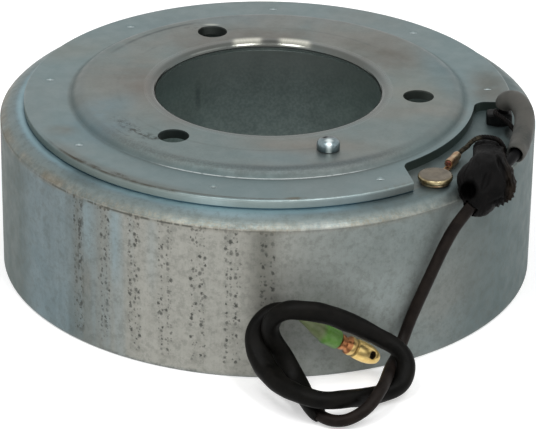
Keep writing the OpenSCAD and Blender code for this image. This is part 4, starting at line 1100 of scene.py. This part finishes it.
# The locating pin: a dome with a small punch dent near its top
DOME_R, DOME_Z = 1.3, 39.4
FLAT_R = 1.05
pin_profile = [(0, 35.62), (2.1, 35.62), (2.32, 35.75), (2.42, 36.33), (1.76, 36.36), (1.76, 38.44),
               (2.2, 38.44), (2.33, 38.52), (2.35, 38.9)]
pin_profile += [(FLAT_R + DOME_R * math.cos(a), DOME_Z + DOME_R * math.sin(a))
                for a in np.radians(np.arange(0, 91, 7.5))]
pin_profile += [(r, 40.7 + 0.04 * (1 - (r / FLAT_R) ** 2)) for r in (0.85, 0.65, 0.45, 0.25, 0)]
pin = lathe("pin_dome", (*PIN_MIDDLE, 0), pin_profile, 64, MATERIALS["pin_steel"])
for vert in pin.data.vertices:
    x, y, z = (c / MM for c in vert.co)
    if z > 39.5:
        away = math.hypot(x - PIN_MIDDLE[0] + 0.75, y - PIN_MIDDLE[1] - 0.7) / 0.6
        vert.co.z -= 0.28 * MM * math.exp(-away ** 2)
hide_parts("locating_pin")

# The outlet bushing: a rounded block on a round stem, as height and size of each ring
STEM_R = 2.25
STEM = [(29.95, 0), (34.8, 0)]
BLOCK = [(34.88, 0.96), (34.95, 1.0), (36.2, 1.0), (36.75, 0.985), (37.0, 0.94), (37.12, 0.86), (37.15, 0.7)]
BLOCK_SIDES = 48
block = []
for z, share in STEM + BLOCK:
    for a in round_angles(BLOCK_SIDES, 0):
        c, s = math.cos(a), math.sin(a)
        squared = (abs(c) ** 6 + abs(s) ** 6) ** (-1 / 6)
        half_x, half_y = (STEM_R, STEM_R) if share == 0 else (2.65 * share * squared, 1.8 * share * squared)
        block.append([half_x * c + BUSHING_MIDDLE[0], half_y * s + BUSHING_MIDDLE[1], z])
n = len(block)
block += [[*BUSHING_MIDDLE, BLOCK[-1][0]], [*BUSHING_MIDDLE, STEM[0][0]]]
block_faces = ring_faces(len(STEM + BLOCK), BLOCK_SIDES)
for i in range(BLOCK_SIDES):
    k = (i + 1) % BLOCK_SIDES
    block_faces += [(n - BLOCK_SIDES + i, n - BLOCK_SIDES + k, n), (k, i, n + 1)]
bushing = add_object("bushing_block", MM * np.array(block), block_faces, MATERIALS["bushing_plastic"])
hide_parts("outlet_bushing")

# The rubber boot: sections from its neck to its lower end, as in the part's source
BOOT = np.array([
    [44.2, -25.6, 37.1, 4.6, 2.8, 0], [44.2, -26.3, 37.2, 5.2, 3.8, 0], [44.1, -28.0, 37.2, 5.3, 4.2, 0],
    [44.1, -30.0, 37.2, 6.0, 4.8, 0], [44.1, -32.5, 37.2, 6.8, 5.4, 2], [43.8, -35.0, 37.2, 8.6, 6.2, 4],
    [43.5, -37.5, 36.9, 10.6, 6.8, 6], [43.3, -40.0, 36.0, 11.8, 7.2, 8], [43.3, -41.4, 34.6, 11.2, 7.2, 12],
    [43.4, -41.8, 33.0, 9.8, 6.8, 18], [42.9, -41.8, 31.4, 7.2, 5.6, 24], [42.4, -41.7, 30.6, 4.6, 3.6, 28],
])
BOOT_TURN = math.radians(12)
BOOT_SIDES = 180
BOOT_GAP = 0.1
OUTLINE_BINS = 120
SHOULDER_A = 2 * math.atan2(SHOULDER_DROP, SHOULDER_W)
SHOULDER_ARC = SHOULDER_W / math.sin(SHOULDER_A)

# Its outline as it is seen from in front, in millimetres from the boot's middle
BOOT_MIDDLE = np.array([43.4, -37.0, 37.0])
BOOT_OUTLINE = [
    (3.3, 5.23), (3.56, 4.2), (4.07, 2.66), (4.67, 1.46), (5.36, 0.6), (5.74, -0.6), (6.01, -1.97),
    (6.04, -3.0), (5.9, -4.1), (5.45, -4.5), (5.8, -5.1), (5.2, -5.2), (5.15, -5.8), (4.6, -5.45),
    (4.4, -6.25), (3.75, -5.95), (3.5, -6.8), (2.95, -6.35), (2.6, -7.15), (2.1, -6.85), (1.42, -7.71),
    (0.73, -8.23), (0.04, -8.66), (-0.81, -8.91), (-1.84, -8.91), (-2.7, -8.83), (-3.9, -7.63),
    (-4.41, -6.6), (-4.93, -5.4), (-5.31, -4.03), (-5.53, -2.83), (-5.79, -1.97), (-5.7, -0.94),
    (-5.19, 0.08), (-4.5, 0.94), (-3.73, 1.71), (-3.04, 2.4), (-2.44, 3.17), (-2.32, 4.2), (-2.39, 5.23),
]
# Dents in its front: middle, half sizes, depth and turn in degrees
BOOT_DENTS = (
    ((-3.35, -3.8), (1.5, 1.8), 2.3, 0), ((0.1, -1.75), (1.9, 0.62), 0.6, 70),
    ((3.5, 0.0), (3.6, 0.5), 0.9, -66), ((4.2, -3.8), (2.2, 0.45), 0.7, 80),
    ((-4.3, -0.9), (0.3, 1.6), 0.3, -25), ((2.3, -5.6), (1.6, 0.3), 0.4, 20),
)
# Folds round its neck: height, place along the boot and width
BOOT_FOLDS = ((0.05, 0.17, 0.022), (-0.07, 0.23, 0.02), (0.04, 0.29, 0.025))
EYE = np.array(place) / MM
EYE_AXES = [np.array(v) for v in (rolled_right, rolled_up, forward)]


def boot_rings():
    """Rings of the boot: the sections, made smooth along their path, with rounded ends."""
    rows = np.array([on_curve(BOOT, i, k / 10) for i in range(len(BOOT) - 1) for k in range(10)] + [BOOT[-1]])
    middles = rows[:, :3]
    t = np.gradient(middles, axis=0)
    for _ in range(6):
        t[1:-1] = (t[:-2] + 2 * t[1:-1] + t[2:]) / 4
    t /= np.linalg.norm(t, axis=1)[:, None]
    x = np.array([math.cos(BOOT_TURN), math.sin(BOOT_TURN), 0])
    u = x - (t @ x)[:, None] * t
    u /= np.linalg.norm(u, axis=1)[:, None]
    h = np.cross(t, u)
    tilt = np.radians(rows[:, 5])[:, None]
    w = np.cos(tilt) * u - np.sin(tilt) * t
    a = round_angles(BOOT_SIDES, 0)
    c, s = (np.sign(v) * np.abs(v) ** 0.8 for v in (np.cos(a), np.sin(a)))
    across = rows[:, 3, None, None] / 2 * c[None, :, None] * w[:, None, :]
    deep = rows[:, 4, None, None] / 2 * s[None, :, None] * h[:, None, :]
    rings = middles[:, None, :] + across + deep
    caps = [(0.93, 0.12), (0.78, 0.30), (0.52, 0.44), (0.2, 0.5)]
    first = [middles[0] + k * (rings[0] - middles[0]) - d * t[0] for k, d in caps][::-1]
    last = [middles[-1] + k * (rings[-1] - middles[-1]) + d * t[-1] for k, d in caps]
    return np.concatenate([first, rings, last])


def from_front(points):
    """Where points show from in front, as slopes right and up, and their distance."""
    offset = points - EYE
    depth = offset @ EYE_AXES[2]
    return offset @ EYE_AXES[0] / depth, offset @ EYE_AXES[1] / depth, depth


def to_space(u, v, depth):
    """The points at slopes right and up and at a distance: the other way round."""
    return EYE + depth[..., None] * (u[..., None] * EYE_AXES[0] + v[..., None] * EYE_AXES[1] + EYE_AXES[2])


def fit_outline(points):
    """Moves points out or in from the boot's middle until their outline is the given one."""
    u0, v0, d0 = from_front(BOOT_MIDDLE)
    u, v, depth = from_front(points)
    x, y = (u - u0) * d0, (v - v0) * d0
    angle, reach = np.arctan2(y, x), np.hypot(x, y)
    outline = np.array(BOOT_OUTLINE)
    fine = np.concatenate([
        outline[i] + np.linspace(0, 1, 30, endpoint=False)[:, None] * (outline[i + 1] - outline[i])
        for i in range(len(outline) - 1)])
    wanted_a, wanted_r = np.arctan2(fine[:, 1], fine[:, 0]), np.hypot(fine[:, 0], fine[:, 1])
    order = np.argsort(wanted_a)

    def wanted(at):
        return np.interp(at, wanted_a[order], wanted_r[order], period=2 * np.pi)

    bins = np.linspace(-np.pi, np.pi, OUTLINE_BINS + 1)
    which = np.clip(np.digitize(angle, bins) - 1, 0, OUTLINE_BINS - 1)
    present = np.array([
        reach[which == b].max() if (which == b).any() else np.nan for b in range(OUTLINE_BINS)])
    present = np.where(np.isnan(present), np.nanmean(present), present)
    own = np.interp(angle, (bins[:-1] + bins[1:]) / 2, present, period=2 * np.pi)
    smooth_goal = sum(wanted(angle + k) for k in np.linspace(-0.2, 0.2, 9)) / 9
    edge = np.clip((reach / own - 0.80) / 0.15, 0, 1)
    ratio = (smooth_goal + edge * (wanted(angle) - smooth_goal)) / own
    neck = np.exp(-(np.clip(np.abs(angle - np.pi / 2) - 0.42, 0, None) / 0.12) ** 2)
    ratio = ratio + neck * (1 - ratio)
    ratio = 1 + (ratio - 1) * np.clip(reach / own / 0.5, 0, 1)
    return to_space(u0 + x * ratio / d0, v0 + y * ratio / d0, depth)


def clear_of_shell(points):
    """Moves points that lie in the shell out to just above its surface, by the shortest way."""
    level, z = points[..., :2], points[..., 2]
    r = np.hypot(points[..., 0], points[..., 1])
    arc_r, arc_z = SHELL_R - SHOULDER_W, SHELL_H - SHOULDER_ARC
    from_arc = np.hypot(r - arc_r, z - arc_z)
    to_arc = (SHOULDER_ARC + BOOT_GAP) / from_arc
    depths = np.stack([
        SHELL_H + BOOT_GAP - z, SHELL_R + BOOT_GAP - r,
        np.where(r > arc_r, SHOULDER_ARC + BOOT_GAP - from_arc, 99)])
    which = np.where(depths.min(axis=0) > 0, depths.argmin(axis=0), 3)
    new_r = np.choose(which, [r, np.full_like(r, SHELL_R + BOOT_GAP), arc_r + (r - arc_r) * to_arc, r])
    new_z = np.choose(which, [np.full_like(z, SHELL_H + BOOT_GAP), z, arc_z + (z - arc_z) * to_arc, z])
    return np.concatenate([level / r[..., None] * new_r[..., None], new_z[..., None]], -1)


def press(points, where, size, depth, turn):
    """Presses an oval dent into the boot's front, at where in its outline's millimetres."""
    u0, v0, d0 = from_front(BOOT_MIDDLE)
    u, v, far = from_front(points)
    x, y = (u - u0) * d0 - where[0], (v - v0) * d0 - where[1]
    c, s = math.cos(math.radians(turn)), math.sin(math.radians(turn))
    away = np.hypot((c * x + s * y) / size[0], (c * y - s * x) / size[1])
    return to_space(u, v, far + depth * np.where(far < d0 + 1.0, 1 / (1 + np.exp((away - 1) * 9)), 0))


boot_points = fit_outline(boot_rings())
length_share = np.linspace(0, 1, len(boot_points))[:, None, None]
middle_line = boot_points.mean(axis=1, keepdims=True)
folds = sum(size * np.exp(-((length_share - where) / width) ** 2) for size, where, width in BOOT_FOLDS)
uneven = wobble(len(boot_points), BOOT_SIDES, 0.016, 3, seed=21)[:, :, None]
boot_points = middle_line + (1 + uneven) * (1 + folds) * (boot_points - middle_line)
for dent in BOOT_DENTS:
    boot_points = press(boot_points, *dent)
boot_points = clear_of_shell(boot_points)

# Room for the lead, which lies over the boot's lower lip
LEAD_ROOM = 1.32
exit_aim = LEAD_ROUTE[1] - LEAD_ROUTE[0]
exit_aim /= np.linalg.norm(exit_aim)
from_exit = boot_points - LEAD_ROUTE[0] / MM
exit_run = from_exit @ exit_aim
front_axis = EYE_AXES[2] - (EYE_AXES[2] @ exit_aim) * exit_aim
front_axis /= np.linalg.norm(front_axis)
side_axis = np.cross(exit_aim, front_axis)
beside, behind = from_exit @ side_axis, from_exit @ front_axis
needed = np.sqrt(np.clip(LEAD_ROOM ** 2 - beside ** 2, 0, None))
blocked = (exit_run > -0.1) & (exit_run < 9) & (np.abs(beside) < LEAD_ROOM) & (behind < needed)
boot_points = boot_points + np.where(blocked, needed - behind, 0)[..., None] * front_axis
boot = add_object("boot_skin", MM * boot_points.reshape(-1, 3), capped_faces(len(boot_points), BOOT_SIDES),
                  MATERIALS["boot_rubber"], True, 80)
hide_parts("lead_boot")


# Floor, world and lamps
def backdrop_strength(tree, seen, unseen):
    """seen for rays from the camera, from gloss and through glass, and unseen for the others."""
    path = tree.nodes.new("ShaderNodeLightPath")
    largest = path.outputs["Is Camera Ray"]
    for name in ("Is Glossy Ray", "Is Transmission Ray"):
        node = tree.nodes.new("ShaderNodeMath")
        node.operation = "MAXIMUM"
        tree.links.new(largest, node.inputs[0])
        tree.links.new(path.outputs[name], node.inputs[1])
        largest = node.outputs[0]
    spread = tree.nodes.new("ShaderNodeMapRange")
    spread.inputs["To Min"].default_value = unseen
    spread.inputs["To Max"].default_value = seen
    tree.links.new(largest, spread.inputs["Value"])
    return spread.outputs["Result"]


world = bpy.data.worlds.new("studio")
world.use_nodes = True
bpy.context.scene.world = world
background = world.node_tree.nodes["Background"]
background.inputs["Color"].default_value = (1, 1, 1, 1)
world.node_tree.links.new(backdrop_strength(world.node_tree, 1.0, 0.55), background.inputs["Strength"])

FLOOR_HALF = 4.0
floor_mesh = bpy.data.meshes.new("floor")
floor_mesh.from_pydata([(x * FLOOR_HALF, y * FLOOR_HALF, 0) for x, y in ((-1, -1), (1, -1), (1, 1), (-1, 1))],
                       [], [(0, 1, 2, 3)])
floor = bpy.data.objects.new("floor", floor_mesh)
bpy.context.scene.collection.objects.link(floor)
floor_material = bpy.data.materials.new("floor")
floor_material.use_nodes = True
floor_shader = floor_material.node_tree.nodes["Principled BSDF"]
floor_shader.inputs["Base Color"].default_value = (0.8, 0.8, 0.8, 1)
floor_shader.inputs["Roughness"].default_value = 0.9
floor_shader.inputs["Emission Color"].default_value = (1, 1, 1, 1)
floor_material.node_tree.links.new(
    backdrop_strength(floor_material.node_tree, 0.42, 0.0), floor_shader.inputs["Emission Strength"])
floor_mesh.materials.append(floor_material)


def lamp(name, where, size, power, target=(0, 0, 0.02)):
    """A rectangular lamp that faces the target."""
    data = bpy.data.lights.new(name, "AREA")
    data.shape = "RECTANGLE"
    data.size, data.size_y = size
    data.energy = power
    obj = bpy.data.objects.new(name, data)
    obj.location = where
    toward = Vector(target) - Vector(where)
    obj.rotation_euler = toward.to_track_quat("-Z", "Y").to_euler()
    bpy.context.scene.collection.objects.link(obj)


lamp("left_front", (-0.27, -0.50, 0.85), (0.22, 0.5), 3.4)
lamp("right_front", (0.29, -0.50, 0.85), (0.22, 0.5), 3.4)
lamp("fill", (0.8, -0.2, 0.6), (0.5, 0.5), 0.8)

bpy.context.scene.view_settings.view_transform = "Standard"
